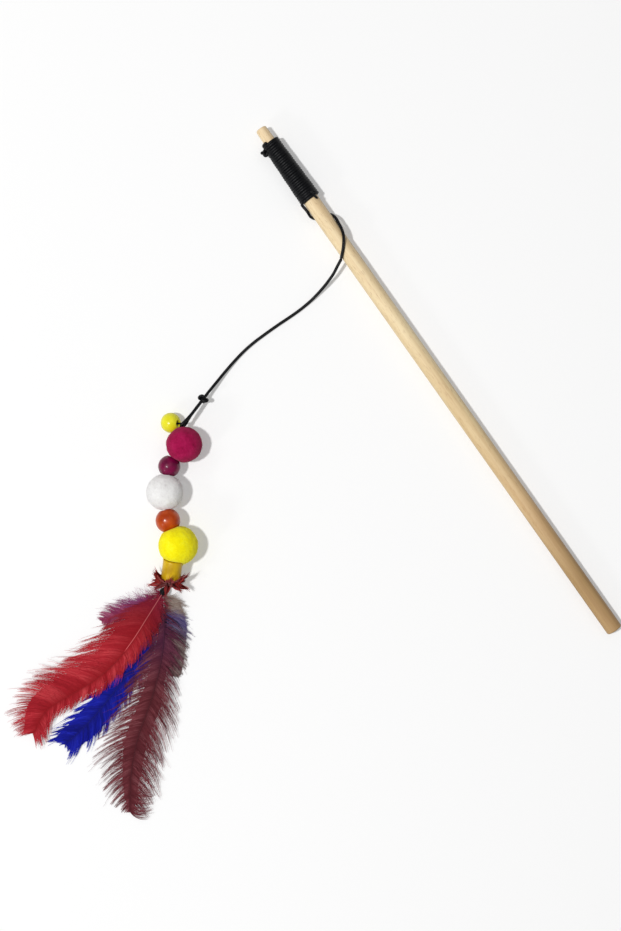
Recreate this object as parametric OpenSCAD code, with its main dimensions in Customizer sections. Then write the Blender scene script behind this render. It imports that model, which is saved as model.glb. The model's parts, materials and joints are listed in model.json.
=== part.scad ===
// Cat teaser wand lying on a table: a wooden dowel, a black cord wound on its tip,
// and a lure of felt balls, painted beads and dyed feathers on the cord's free end.
// Every place is worked out from the dowel's tip end, with X along the dowel towards
// its butt and Z up from the table, and moved to the origin at the very end.

/* [Stick] */
// Length of the dowel
stick_length = 300; // [260:5:420]
// Diameter of the dowel
stick_d = 8; // [6:0.5:10]
// How much narrower the dowel is at its tip end
tip_reduction = 2.4; // [1.6:0.2:2.6]
// Length of the worn stretch between the tip's taper and the plain dowel
worn_length = 35; // [30:1:50]
// Radius of the rounded edge at both ends
end_round = 0.9; // [0.4:0.1:1.2]

/* [Cord] */
// Diameter of the black cord
cord_d = 1.5; // [1.2:0.1:1.6]
// Bare wood between the tip end and the first turn
wind_start = 7; // [5:0.5:10]
// Length of the winding along the dowel
wind_length = 35.5; // [35:0.5:44]
// Turns in the winding
wind_turns = 17; // [14:1:17]
// Cord diameter inside the knots
knot_cord_d = 1.3; // [1:0.1:1.5]
// Distance from the loop knot to the neck of the bead string
noose_length = 15.3; // [12:0.1:20]
// Diameter of the thin cord that carries the beads
string_d = 1; // [0.8:0.1:1.2]

/* [Felt balls] */
// Diameter of the pink felt ball
pink_d = 17.8; // [14:0.2:20]
// Diameter of the white felt ball
white_d = 18.2; // [14:0.2:22]
// Diameter of the yellow felt ball
yellow_d = 19.6; // [16:0.2:24]

/* [Beads] */
// Diameter of the small yellow bead
small_d = 9.8; // [9:0.2:11]
// Diameter of the magenta bead
magenta_d = 10.8; // [10:0.2:12]
// Diameter of the orange bead
orange_d = 12; // [11:0.2:13]
// Diameter of a round bead's bore
bore_d = 2.5; // [2.4:0.1:3]
// Diameter of the small bead's bore, which its stopper knot can't pass
small_bore_d = 1.8; // [1.6:0.1:2]
// Diameter of the flare that holds the stopper knot in the small bead's far mouth
small_flare_d = 3.4; // [3.2:0.1:3.6]
// Diameter of the flare where the bore leaves a bead between two felt balls
flare_d = 4.5; // [4.4:0.1:4.8]
// Diameter of the wider flare on the magenta bead's lower side
wide_flare_d = 5.4; // [5.2:0.1:5.6]
// Diameter of the tube bead
tube_d = 9.6; // [7:0.2:10]
// Length of the tube bead
tube_length = 10; // [9:0.5:14]
// Bore of the tube bead
tube_bore = 3.2; // [2.8:0.1:4]
// Radius of the tube bead's rounded rims
tube_round = 0.6; // [0.3:0.1:1]

/* [How the beads press into the felt] */
// Depth of the magenta bead in the pink ball
magenta_in_pink = 1.4; // [0.5:0.05:1.6]
// Depth of the magenta bead in the white ball
magenta_in_white = 1.7; // [1:0.05:2.2]
// Depth of the orange bead in the white ball
orange_in_white = 1.2; // [0.6:0.05:1.8]
// Depth of the orange bead in the yellow ball
orange_in_yellow = 2.75; // [1.5:0.05:3]
// Depth of the tube bead in the yellow ball
tube_in_yellow = 2.4; // [1.2:0.1:3]

/* [Feathers] */
// Length of the red feather
red_length = 95; // [70:1:110]
// Width of the red feather on the wider side of its shaft
red_half = 19; // [12:0.5:22]
// Length of the maroon feather
maroon_length = 110; // [80:1:120]
// Half width of the maroon feather
maroon_half = 18; // [10:0.5:20]
// Length of the royal blue feather
blue_length = 90; // [70:1:100]
// Half width of the royal blue feather
blue_half = 9.5; // [6:0.5:12]
// Length of the brown side feather
brown_length = 42; // [34:1:60]
// Half width of the brown side feather
brown_half = 11; // [6:0.5:13]
// Length of the short blue feather
short_length = 34; // [28:1:55]
// Half width of the short blue feather
short_half = 7; // [5:0.5:11]
// Diameter of a quill at the tie
quill_d = 0.76; // [0.6:0.02:0.8]
// Thickness of a feather's vane
vane_thick = 0.3; // [0.2:0.05:0.4]
// Reach of the longest hackles in the tuft
tuft_reach = 11; // [6:0.5:12]

/* [Clearances] */
// Felt to bead
felt_gap = 0.3; // [0.2:0.05:0.4]
// Bead string to the felt that grips it
string_gap = 0.08; // [0.03:0.01:0.1]
// Cord to the wood that it lies on
lay_gap = 0.06; // [0.04:0.01:0.1]
// Between pieces that meet end to end
end_gap = 0.3; // [0.2:0.05:0.4]

/* [Hidden] */

// Facets of a round piece, of a cord, and overrun of a cut
round_fn = 64;
cord_sides = 8;
over = 1;

stick_r = stick_d / 2;
tip_r = stick_r - tip_reduction / 2;
wear = 0.04;
worn_r = stick_r - wear;
taper_past_winding = 0.5;
taper_length = wind_start + wind_length + taper_past_winding;
cord_r = cord_d / 2;
string_r = string_d / 2;

// The loose turn: distance past the winding, and angle round the dowel from +Y over
// the top. It leaves the winding at the upper left and turns along the dowel, passes
// under it, comes up on the right and crosses over the top to the left.
wind_end_angle = 130;
turn_route = [
    [-0.4, 161.5], [0.1, 166.5], [0.9, 169.5], [2.3, 171], [4.2, 173], [6.6, 190],
    [8.4, 225], [9.1, 248], [9.5, 270], [10.2, 300], [11.4, 330], [14, 368], [17, 384],
    [20.4, 396], [23.6, 415], [26.2, 438], [28.6, 462], [30.2, 482],
];
// How far its first places stand off the dowel
turn_lift = [0.42, 0.42, 0.3, 0.12];
under_angle = 270;
under_x = wind_start + wind_length + lookup(under_angle, [for (p = turn_route) [p[1], p[0]]]);

// The dowel leans: its tip end is carried by the turn that passes under it, and its
// butt end by its own lower edge.
turn_radius = stick_r + cord_r + lay_gap;
lean = asin((turn_radius + cord_r - stick_r) / (stick_length - end_round - under_x));
axis_height = turn_radius + cord_r + under_x * sin(lean);

// A point on the dowel, in table coordinates
function to_table(p) = [
    p.x * cos(lean) + p.z * sin(lean), p.y, axis_height + p.z * cos(lean) - p.x * sin(lean)
];

// Where the cord leaves the dowel and swings
exit_past_turn = 2.4;
exit_out = stick_r + cord_r + 0.3 * cord_d;
exit_up = 0.8 * stick_r;
exit_x = wind_start + wind_length + turn_route[len(turn_route) - 1][0] + exit_past_turn;
cord_exit = to_table([exit_x, -exit_out, exit_up]);

// Route of the free cord after its exit: over the dowel's edge, down to the table,
// along it, and up to the loop knot
cord_route = [
    [76.6, -8.2, 8], [78.5, -12, 6.6], [80.1, -16.8, 4.7], [81.4, -22.2, 2.7],
    [82.4, -28, 1.3], [82.9, -34, 0.8], [83, -40, 0.8], [82.8, -48, 0.8],
    [82.8, -56, 0.8], [83, -63, 0.8], [83.7, -69.5, 0.9], [85.1, -76.5, 1.3],
    [86.9, -83.5, 2.3], [88.8, -90, 3.7], [90.5, -95.8, 5.1],
];
knot_at = [91.6, -99, 5.8];

// Headings in the table's plane of each run of the bead string
noose_heading = -72.1;
pink_heading = -34.8;
small_heading = -131;
string_headings = [-70, -44.8, -28.8, -12.7];
tube_seat_heading = -53.7;
tube_heading = -43.5;
tube_pitch = -15;
tie_heading = -66.6;

// The bead string, from ball to bead to ball
neck_clear = 1.1;
small_run = 3;
magenta_height = 8;
orange_height = 9.6;
tube_seat_height = 1.5;
tie_height = 4.2;
tie_run = 7.4;

function flat_step(distance, rise) = sqrt(distance * distance - rise * rise);
function toward(heading) = [cos(heading), sin(heading), 0];
function aim(heading, pitch) = [cos(pitch) * cos(heading), cos(pitch) * sin(heading), sin(pitch)];
function chain(from, heading, distance, height) =
    [from.x, from.y, 0] + flat_step(distance, height - from.z) * toward(heading) + [0, 0, height];

neck_at = [knot_at.x, knot_at.y, pink_d / 2] + noose_length * toward(noose_heading);
pink_at = neck_at + (pink_d / 2 + neck_clear) * toward(pink_heading);
small_at = chain(neck_at, small_heading, small_run + small_d / 2, small_d / 2);
magenta_at = chain(pink_at, string_headings[0], (pink_d + magenta_d) / 2 - magenta_in_pink, magenta_height);
white_at = chain(magenta_at, string_headings[1], (magenta_d + white_d) / 2 - magenta_in_white, white_d / 2);
orange_at = chain(white_at, string_headings[2], (white_d + orange_d) / 2 - orange_in_white, orange_height);
yellow_at = chain(orange_at, string_headings[3], (orange_d + yellow_d) / 2 - orange_in_yellow, yellow_d / 2);
tube_at = yellow_at + (yellow_d / 2 - tube_in_yellow) * toward(tube_seat_heading) + [0, 0, tube_seat_height];
tube_aim = aim(tube_heading, tube_pitch);
tube_end = tube_at + tube_length * tube_aim;
tie_at = [tube_end.x, tube_end.y, tie_height] + tie_run * toward(tie_heading);

small_aim = unit(small_at - neck_at);
magenta_aim = unit(unit(magenta_at - pink_at) + unit(white_at - magenta_at));
orange_aim = unit(unit(orange_at - white_at) + unit(yellow_at - orange_at));

// Vector and path helpers
function unit(v) = v / norm(v);
function blend(a, b, t) = a + (b - a) * t;
function total(list) = len(list) == 0 ? 0 : list * [for (x = list) 1];

// A smooth curve through points, with a number of steps between each two
function curve(p, steps) = [
    for (i = [0:len(p) - 2], s = [0:steps - 1])
        let(
            a = p[max(i - 1, 0)], b = p[i], c = p[i + 1], d = p[min(i + 2, len(p) - 1)],
            t = s / steps
        )
        0.5 * (2 * b + (c - a) * t + (2 * a - 5 * b + 4 * c - d) * t * t
            + (3 * b - a - 3 * c + d) * t * t * t),
    p[len(p) - 1]
];

// A bend of the bead string rounded off over a distance on both sides
function bent(a, b, c, cut) =
    let(p = b + cut * unit(a - b), q = b + cut * unit(c - b))
    [for (t = [0:0.25:1]) blend(blend(p, b, t), blend(b, q, t), t)];

function tangents(p) = [
    for (i = [0:len(p) - 1]) unit(p[min(i + 1, len(p) - 1)] - p[max(i - 1, 0)])
];
function square_to(n, t) = unit(n - (n * t) * t);
function sides_of(t, first) = [
    for (i = 0, n = square_to(first, t[0]); i < len(t);
        i = i + 1, n = square_to(n, t[min(i, len(t) - 1)])) n
];

// Points and triangles of a tube with one ring at each point of its path
function tube_points(p, r, sides, first) =
    let(t = tangents(p), n = sides_of(t, first))
    [for (i = [0:len(p) - 1], k = [0:sides - 1])
        let(a = 360 * (k + 0.5) / sides, size = is_list(r) ? r[i] : r)
        p[i] + size * (cos(a) * n[i] + sin(a) * cross(t[i], n[i]))];
function tube_faces(rings, sides) = concat(
    [for (i = [0:rings - 2], k = [0:sides - 1], half = [0, 1])
        let(a = i * sides + k, b = i * sides + (k + 1) % sides)
        half == 0 ? [a, b + sides, b] : [a, a + sides, b + sides]],
    [for (k = [1:sides - 2]) [0, k, k + 1]],
    [for (k = [1:sides - 2], o = (rings - 1) * sides) [o, o + k + 1, o + k]]
);
module tube(p, d, sides, first) {
    polyhedron(points = tube_points(p, d / 2, sides, first), faces = tube_faces(len(p), sides));
}

// A tube whose two ends are rounded about the path's first and last point
module round_ended_tube(p, d, sides, first) {
    last = len(p) - 1;
    head = unit(p[0] - p[1]);
    foot = unit(p[last] - p[last - 1]);
    angles = [25, 45, 65];
    path = concat(
        [for (k = [2:-1:0]) p[0] + d / 2 * sin(angles[k]) * head],
        p,
        [for (k = [0:2]) p[last] + d / 2 * sin(angles[k]) * foot]
    );
    radii = concat(
        [for (k = [2:-1:0]) d / 2 * cos(angles[k])],
        [for (q = p) d / 2],
        [for (k = [0:2]) d / 2 * cos(angles[k])]
    );
    polyhedron(points = tube_points(path, radii, sides, first), faces = tube_faces(len(path), sides));
}

// A round rod between two points
module rod(a, b, d) {
    v = b - a;
    translate(a)
        rotate([0, acos(v.z / norm(v)), atan2(v.y, v.x)])
            cylinder(h = norm(v), d = d, $fn = round_fn);
}
module ring(major, minor_d) {
    rotate_extrude($fn = round_fn)
        translate([major, 0])
            circle(d = minor_d, $fn = round_fn / 2);
}
module facing(direction) {
    rotate([0, acos(direction.z / norm(direction)), atan2(direction.y, direction.x)]) children();
}
// Puts a piece drawn round the dowel's own axis, tip at zero, on the leaning dowel
module on_stick() {
    translate([0, 0, axis_height]) rotate([0, lean, 0]) children();
}

// Colours
wood_colour = [0.88, 0.76, 0.58];
cord_colour = [0.06, 0.06, 0.07];
pink_colour = [0.64, 0.12, 0.33];
magenta_colour = [0.55, 0.02, 0.28];
white_colour = [0.9, 0.89, 0.87];
orange_colour = [0.82, 0.33, 0.06];
yellow_colour = [0.97, 0.92, 0.08];
small_colour = [0.95, 0.93, 0.2];
tube_colour = [0.86, 0.68, 0.12];
red_colour = [0.7, 0.13, 0.18];
maroon_colour = [0.36, 0.12, 0.16];
blue_colour = [0.02, 0.06, 0.6];
brown_colour = [0.4, 0.27, 0.25];
tuft_colour = [0.5, 0.12, 0.1];

module stick() {
    profile = concat(
        [[0, 0]],
        [for (a = [0:15:90]) [tip_r - end_round + end_round * sin(a), end_round * (1 - cos(a))]],
        [[worn_r, taper_length], [stick_r, taper_length + worn_length]],
        [for (a = [0:15:90])
            [stick_r - end_round + end_round * cos(a), stick_length - end_round + end_round * sin(a)]],
        [[0, stick_length]]
    );
    color(wood_colour)
        on_stick()
            rotate([0, 90, 0])
                rotate_extrude($fn = round_fn)
                    polygon(profile);
}

// The winding: one helical tube of six sides, straight for a diameter at both ends
wind_sides = 6;
wind_rings = 24;
wind_flat = cord_r * cos(180 / wind_sides);
wind_pitch = (wind_length - cord_d) / wind_turns;
wind_first = wind_start + cord_r;
function wind_radius(t) =
    lay_gap + wind_flat + blend(tip_r, worn_r, (wind_first + t * wind_pitch) / taper_length);
function wind_angle(t) = wind_end_angle - 360 * (wind_turns - t);
function wind_out(t) = [0, cos(wind_angle(t)), sin(wind_angle(t))];
function wind_along(t) = unit([
    wind_pitch,
    -2 * PI * wind_radius(t) * sin(wind_angle(t)),
    2 * PI * wind_radius(t) * cos(wind_angle(t))
]);
function wind_centre(t) =
    let(u = max(0, min(wind_turns, t)))
    [wind_first + u * wind_pitch, 0, 0] + wind_radius(u) * wind_out(u);
wind_steps = wind_turns * wind_rings;
wind_path = concat(
    [wind_centre(0) - cord_d * wind_along(0)],
    [for (i = [0:wind_steps]) wind_centre(i / wind_rings)],
    [wind_centre(wind_turns) + cord_d * wind_along(wind_turns)]
);
wind_out_path = concat(
    [wind_out(0)],
    [for (i = [0:wind_steps]) wind_out(i / wind_rings)],
    [wind_out(wind_turns)]
);
wind_along_path = concat(
    [wind_along(0)],
    [for (i = [0:wind_steps]) wind_along(i / wind_rings)],
    [wind_along(wind_turns)]
);
wind_points = [
    for (i = [0:len(wind_path) - 1], k = [0:wind_sides - 1])
        let(
            a = 360 * k / wind_sides,
            out = square_to(wind_out_path[i], wind_along_path[i]),
            side = cross(wind_along_path[i], out)
        )
        wind_path[i] + cord_r * (cos(a) * side + sin(a) * out)
];
// The least gap between the winding's turns: from each ring's points to those of
// the next turn's rings near it
wind_gap = min([
    for (i = [wind_sides * 2 : wind_sides * 3 : len(wind_points) - wind_sides * (wind_rings + 4)],
        k = [0:wind_sides - 1], j = [-2:2], m = [0:wind_sides - 1])
        norm(wind_points[i + k] - wind_points[i + wind_sides * (wind_rings + j) + m])
]);
echo(least_gap_of_winding = wind_gap);

module winding() {
    color(cord_colour)
        on_stick()
            polyhedron(points = wind_points, faces = tube_faces(len(wind_path), wind_sides));
}

// A small knot of two crossed rings round a core
core_share = 0.9;
module knot(ring_r, cord, tilt) {
    sphere(r = core_share * ring_r, $fn = round_fn);
    for (side = [-1, 1])
        translate([0, 0, side * cord / 3])
            rotate([side * tilt, 0, 0])
                ring(ring_r, cord);
}

// The knot in the cord's first end lies on the turns at the dowel's left
winding_knot_in = 3.4;
winding_knot_x = wind_start + winding_knot_in;
winding_knot_r = 0.85;
module winding_knot() {
    seat = wind_radius((winding_knot_x + knot_cord_d - wind_first) / wind_pitch)
        + wind_flat + lay_gap + winding_knot_r + knot_cord_d / 2;
    color(cord_colour)
        on_stick()
            translate([winding_knot_x, -seat, 0])
                rotate([0, 90, 0])
                    knot(winding_knot_r, knot_cord_d, 20);
}

// The cord's cut end shows past the last turn, at the upper right
tail_length = 2.6;
tail_angle = 62;
module winding_tail() {
    start = wind_start + wind_length + lay_gap;
    out = stick_r + lay_gap + cord_r;
    color(cord_colour)
        on_stick()
            translate([start, out * cos(tail_angle), out * sin(tail_angle)])
                rotate([0, 90, 0]) {
                    cylinder(h = tail_length, d = cord_d, $fn = round_fn);
                    translate([0, 0, tail_length]) sphere(d = cord_d * 1.04, $fn = round_fn);
                }
}

// A point of the loose turn from its distance past the winding, its angle and how far
// it stands off the dowel, and the same three from a point
function turn_point(p) =
    let(r = turn_radius + p[2])
    [wind_start + wind_length + p[0], r * cos(p[1]), r * sin(p[1])];
function turn_place(p) = [
    p.x - wind_start - wind_length, atan2(p.z, p.y), norm([p.y, p.z]) - turn_radius
];

// It starts square to the winding's end face, and ends short of the exit
turn_first = wind_path[len(wind_path) - 1] + lay_gap * wind_along(wind_turns);
turn_straight = 0.35 * cord_d;
turn_places = concat(
    [turn_place(turn_first + turn_straight * wind_along(wind_turns))],
    [for (i = [0:len(turn_route) - 1])
        [turn_route[i][0], turn_route[i][1], i < len(turn_lift) ? turn_lift[i] : 0]]
);
turn_steps = 3;
exit_stop = cord_r + lay_gap;
turn_path = concat(
    [turn_first],
    [for (p = curve(turn_places, turn_steps)) turn_point(p)],
    [blend(turn_point(turn_places[len(turn_places) - 1]), [exit_x, -exit_out, exit_up],
        1 - exit_stop / exit_past_turn)]
);
module loose_turn() {
    color(cord_colour)
        on_stick()
            tube(turn_path, cord_d, cord_sides, [0, 0, 1]);
}

knot_r = 1.9;
cord_last = cord_route[len(cord_route) - 1];
knot_entry = knot_at - (core_share * knot_r + cord_r + lay_gap) * unit(knot_at - cord_last);
cord_path = concat([cord_exit], cord_route, [knot_entry]);
echo(free_cord_length = total([
    for (i = [0:len(cord_path) - 2]) norm(cord_path[i + 1] - cord_path[i])
]));
module free_cord() {
    color(cord_colour) round_ended_tube(curve(cord_path, 2), cord_d, cord_sides, [0, 0, 1]);
}

module loop_knot() {
    color(cord_colour)
        translate(knot_at)
            facing(neck_at - knot_at) {
                sphere(r = core_share * knot_r, $fn = round_fn);
                rotate([18, 0, 0]) ring(knot_r, knot_cord_d);
                rotate([-24, 0, 90]) ring(knot_r, knot_cord_d);
            }
}

// The noose: from the knot over the bead string's neck, round it and back under it.
// It turns square to the two runs of the string, and clears both by the same gap.
noose_side = string_r + cord_r + lay_gap;
noose_out = unit(small_aim + toward(pink_heading));
noose_normal = unit(cross(small_aim, toward(pink_heading)));
noose_reach = (noose_side + lay_gap) / sin(acos(small_aim * toward(pink_heading)) / 2);
noose_aim = unit(neck_at - knot_at);
noose_start = knot_at + (knot_r + lay_gap) * noose_aim;
noose_up = square_to([0, 0, 1], noose_aim);
strand_apart = cord_r + lay_gap;
noose_path = concat(
    [for (t = [0, 0.3, 0.6]) blend(noose_start, neck_at, t) + strand_apart * noose_up],
    [neck_at - 2 * cord_r * noose_aim + 0.95 * noose_side * noose_up],
    [for (a = [90:-45:-90])
        neck_at + noose_reach * cos(a) * noose_out + (noose_side + lay_gap) * sin(a) * noose_normal],
    [neck_at - 2 * cord_r * noose_aim - 0.95 * noose_side * noose_up],
    [for (t = [0.6, 0.3, 0]) blend(noose_start, neck_at, t) - strand_apart * noose_up]
);
module noose() {
    color(cord_colour)
        tube(curve(noose_path, 3), cord_d, cord_sides, cross(noose_aim, [0, 0, 1]));
}

// The stopper knot is wider than the small bead's bore, and sits in the flare of its
// far mouth. The string ends at the knot.
flat_share = 0.965;
knot_swell = 0.62;
stopper_r = string_r + knot_swell;
flare_slope = (small_flare_d - small_bore_d + lay_gap)
    / (small_d * flat_share - small_bore_d + 2 * lay_gap);
stopper_seat = small_bore_d / 2
    + ((stopper_r + lay_gap) / cos(atan(flare_slope)) - (small_bore_d - lay_gap) / 2) / flare_slope;
small_far = small_at + (stopper_seat - stopper_r - lay_gap) * small_aim;

// The bead string in three lengths. It bends in the middle of each felt ball, at the
// neck and in the tube's mouth, and its lengths meet inside the beads it turns on.
bend_cut = 1.2;
string_stop = 0.7;
top_bends = [small_far, neck_at, pink_at, magenta_at];
middle_bends = [magenta_at, white_at, orange_at];
bottom_bends = [orange_at, yellow_at, tube_at, tube_end, tie_at];
function string_path(b, start_stop, end_stop) = concat(
    [b[0] + start_stop * unit(b[1] - b[0])],
    [for (i = [1:len(b) - 2]) each bent(b[i - 1], b[i], b[i + 1], bend_cut)],
    [b[len(b) - 1] - end_stop * unit(b[len(b) - 1] - b[len(b) - 2])]
);
module string_of(path) {
    color(cord_colour) tube(path, string_d, cord_sides, [0.3, 0.2, 1]);
}
tie_depth = 2.2;
module bead_string_top() string_of(string_path(top_bends, 0, string_stop));
module bead_string_middle() string_of(string_path(middle_bends, string_stop, string_stop));
module bead_string_bottom()
    string_of(string_path(bottom_bends, string_stop, tie_depth / 2 + end_gap + string_r));

module stopper_knot() {
    color(cord_colour)
        translate(small_at + stopper_seat * small_aim)
            facing(small_aim)
                sphere(r = stopper_r, $fn = round_fn);
}

// A round wooden bead on an axis: bored through, flat at both mouths, and flared
// where the string comes in at an angle
module round_bead(d, at, direction, bore, flares) {
    length = d * flat_share;
    translate(at)
        facing(direction)
            difference() {
                intersection() {
                    sphere(d = d, $fn = round_fn);
                    cylinder(h = length, d = d + over, center = true, $fn = round_fn);
                }
                cylinder(h = d + over, d = bore, center = true, $fn = round_fn);
                for (side = [0, 1])
                    if (flares[side] > bore)
                        mirror([0, 0, side])
                            translate([0, 0, bore / 2])
                                cylinder(h = (length - bore) / 2 + lay_gap,
                                    d1 = bore - lay_gap, d2 = flares[side], $fn = round_fn);
            }
}
module small_yellow_bead()
    color(small_colour)
        round_bead(small_d, small_at, small_aim, small_bore_d, [small_flare_d, 0]);
module magenta_bead()
    color(magenta_colour)
        round_bead(magenta_d, magenta_at, magenta_aim, bore_d, [wide_flare_d, flare_d]);
module orange_bead()
    color(orange_colour)
        round_bead(orange_d, orange_at, orange_aim, bore_d, [flare_d, flare_d]);

module yellow_tube_bead() {
    rim = tube_d / 2 - tube_round;
    profile = concat(
        [[0, 0]],
        [for (a = [0:22.5:90]) [rim + tube_round * sin(a), tube_round * (1 - cos(a))]],
        [for (a = [0:22.5:90])
            [rim + tube_round * cos(a), tube_length - tube_round * (1 - sin(a))]],
        [[0, tube_length]]
    );
    color(tube_colour)
        translate(tube_at)
            facing(tube_aim)
                difference() {
                    rotate_extrude($fn = round_fn) polygon(profile);
                    translate([0, 0, -over])
                        cylinder(h = tube_length + 2 * over, d = tube_bore, $fn = round_fn);
                }
}

// The narrow way that the string takes through the felt
channel_d = string_d + 2 * string_gap;
module channel(a, b, c, seam) {
    rod(a, b, channel_d);
    rod(b, c, channel_d);
    turned_ball(b, channel_d + bend_cut, seam);
}
// A ball turned so that its seam, at the given heading, lies away from what cuts it
module turned_ball(p, d, seam) {
    translate(p) rotate([0, 0, seam]) sphere(d = d, $fn = round_fn);
}
module dimple(bead_at, bead_d, ball_at) {
    away = bead_at - ball_at;
    turned_ball(bead_at, bead_d + 2 * felt_gap, atan2(away.y, away.x));
}
pink_seam = 30;
white_seam = -125;
yellow_seam = 60;
module pink_felt_ball() {
    color(pink_colour)
        difference() {
            turned_ball(pink_at, pink_d, pink_seam);
            dimple(magenta_at, magenta_d, pink_at);
            dimple(small_at, small_d, pink_at);
            channel(neck_at, pink_at, magenta_at, pink_seam);
            translate(neck_at)
                facing(cross(noose_out, noose_normal))
                    ring((noose_reach + noose_side) / 2, cord_d + 4 * felt_gap);
        }
}
module white_felt_ball() {
    color(white_colour)
        difference() {
            turned_ball(white_at, white_d, white_seam);
            dimple(magenta_at, magenta_d, white_at);
            dimple(orange_at, orange_d, white_at);
            channel(magenta_at, white_at, orange_at, white_seam);
        }
}
module yellow_felt_ball() {
    pocket_d = tube_d + 2 * felt_gap;
    color(yellow_colour)
        difference() {
            turned_ball(yellow_at, yellow_d, yellow_seam);
            dimple(orange_at, orange_d, yellow_at);
            channel(orange_at, yellow_at, tube_at, yellow_seam);
            for (up = [0, tube_in_yellow])
                translate(tube_at - felt_gap * tube_aim + [0, 0, up])
                    facing(tube_aim)
                        cylinder(h = tube_length, d = pocket_d, $fn = round_fn);
        }
}

// The tuft: a small hub tied on the string just past the tube bead, with stiff
// hackles standing out all round, square to the tube. Each leans forward or back, and
// those that point down are shorter.
tie_aim = unit(tie_at - tube_end);
hub_r = 1.5;
hub_depth = 1.4;
hub_past_tube = 2.2;
hub_at = tube_end + hub_past_tube * tie_aim;
hackles = 16;
hackle_leans = [16, -6, 8, -12, 12, -8, 4, -10];
hackle_reach_shares = [1, 0.72, 0.9, 0.8, 0.96, 0.66, 0.88, 0.78];
hackle_turn_shares = [0, 0.3, -0.2, 0.15, -0.3, 0.2, -0.1, 0.25];
hackle_width_shares = [[0, 0.5], [0.35, 1], [0.75, 0.62], [1, 0.08]];
hackle_half = 0.6;
hackle_thin = 0.2;
hackle_floor = 0.6;
tuft_u = square_to([0, 0, 1], tube_aim);
tuft_v = cross(tube_aim, tuft_u);
module hackle(k) {
    a = (k + hackle_turn_shares[k % 8]) * 360 / hackles;
    flat = cos(a) * tuft_u + sin(a) * tuft_v;
    lean = hackle_leans[k % 8];
    out = cos(lean) * flat + sin(lean) * tube_aim;
    wide = cross(tube_aim, flat);
    thin = cross(out, wide);
    wish = tuft_reach * hackle_reach_shares[k % 8];
    reach = out.z < 0 ? min(wish, (hub_at.z - hackle_floor) / -out.z) : wish;
    root = hub_at + hub_r / 2 * flat;
    points = [
        for (w = hackle_width_shares, c = [[1, 0], [0, 1], [-1, 0], [0, -1]])
            root + w[0] * (reach - hub_r / 2) * out
                + w[1] * (c[0] * hackle_half * wide + c[1] * hackle_thin * thin)
    ];
    polyhedron(points = points, faces = tube_faces(len(hackle_width_shares), 4));
}
module feather_tuft() {
    color(tuft_colour)
        difference() {
            union() {
                translate(hub_at - hub_depth / 2 * tie_aim)
                    facing(tie_aim)
                        cylinder(h = hub_depth, r = hub_r, $fn = round_fn);
                for (k = [0:hackles - 1]) hackle(k);
            }
            rod(tube_end, tie_at, channel_d);
        }
}

// The five quills stand in the tie: one in the middle and four round it
stack_share = 0.226;
quill_apart = stack_share * tie_height;
tie_wall = 0.5;
tie_floor = 0.3;
tie_r = quill_apart + quill_d / 2 + tie_wall;
tie_side = [-sin(tie_heading), cos(tie_heading), 0];
wrap_d = 0.8;
quill_places = [[0, 1], [0, 0], [0, -1], [1, 0], [-1, 0]];
module feather_tie() {
    color(cord_colour)
        translate(tie_at)
            facing(toward(tie_heading))
                difference() {
                    union() {
                        translate([0, 0, -tie_depth / 2])
                            cylinder(h = tie_depth, r = tie_r, $fn = round_fn);
                        for (k = [-1, 0, 1])
                            translate([0, 0, k * (tie_depth - wrap_d) / 2])
                                ring(tie_r, wrap_d);
                    }
                    for (p = quill_places)
                        translate([-p[1] * quill_apart, p[0] * quill_apart, tie_floor - tie_depth / 2])
                            cylinder(h = tie_depth, d = quill_d + 2 * lay_gap, $fn = round_fn);
                }
}

// A feather: its shaft's sway and its vane's width on both sides are shares of its
// length and half width; its height above the table follows the distance from the
// tie, so that each feather lies on the one below it.
fall_reach = 100;
quill_straight = 0.3;
vane_slant = 0.75;
stations = 9;
left_barbs = [1, 0.84, 0.98, 0.78, 0.94, 0.88, 1, 0.7, 0.96, 0.82, 0.92];
right_barbs = [0.96, 0.86, 1, 0.8, 0.97, 0.72, 0.93, 0.88, 1, 0.76, 0.9, 0.82, 0.95];
top_fall = [[0.013, 1 + stack_share], [0.06, 1.2], [0.12, 1.1], [0.2, 0.95], [0.3, 0.78],
    [0.6, 0.6], [1.2, 0.52]];
middle_fall = [[0.013, 1], [0.06, 0.98], [0.12, 0.9], [0.2, 0.75], [0.3, 0.59],
    [0.6, 0.41], [1.2, 0.33]];
low_fall = [[0.013, 1 - stack_share], [0.06, 0.77], [0.12, 0.7], [0.2, 0.56], [0.3, 0.4],
    [0.6, 0.21], [1.2, 0.14]];
side_fall = [[0.017, 1], [0.03, 0.88], [0.06, 0.58], [0.12, 0.33], [0.2, 0.22], [0.3, 0.15],
    [0.6, 0.11]];

// Headings of the feathers from the tie
red_heading = -77.8;
maroon_heading = -44.1;
blue_heading = -68.2;
brown_heading = -29;
short_heading = -99.5;

// [heading, length, half width, place in the tie, fall, sway, left width, right width]
red = [red_heading, red_length, red_half, quill_places[0], top_fall,
    [0.026, 0.051, 0.063, 0.048, 0.008, -0.03, 0],
    [[0.04, 0], [0.07, 0.3], [0.12, 0.45], [0.3, 0.42], [0.5, 0.36], [0.75, 0.32], [0.9, 0.4], [1, 0.25]],
    [[0.04, 0], [0.07, 0.4], [0.14, 0.8], [0.25, 1], [0.55, 1], [0.7, 0.95], [0.85, 0.75], [1, 0.3]]];
maroon = [maroon_heading, maroon_length, maroon_half, quill_places[1], middle_fall,
    [0.029, 0.035, 0.016, -0.015, -0.019, 0],
    [[0.05, 0], [0.08, 0.4], [0.12, 0.6], [0.2, 0.68], [0.29, 0.55], [0.38, 0.65], [0.47, 0.9],
        [0.77, 0.85], [0.85, 0.65], [0.93, 0.5], [1, 0.1]],
    [[0.06, 0], [0.1, 0.2], [0.3, 0.75], [0.5, 0.95], [0.65, 1], [0.8, 0.75], [0.92, 0.4], [1, 0.04]]];
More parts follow.
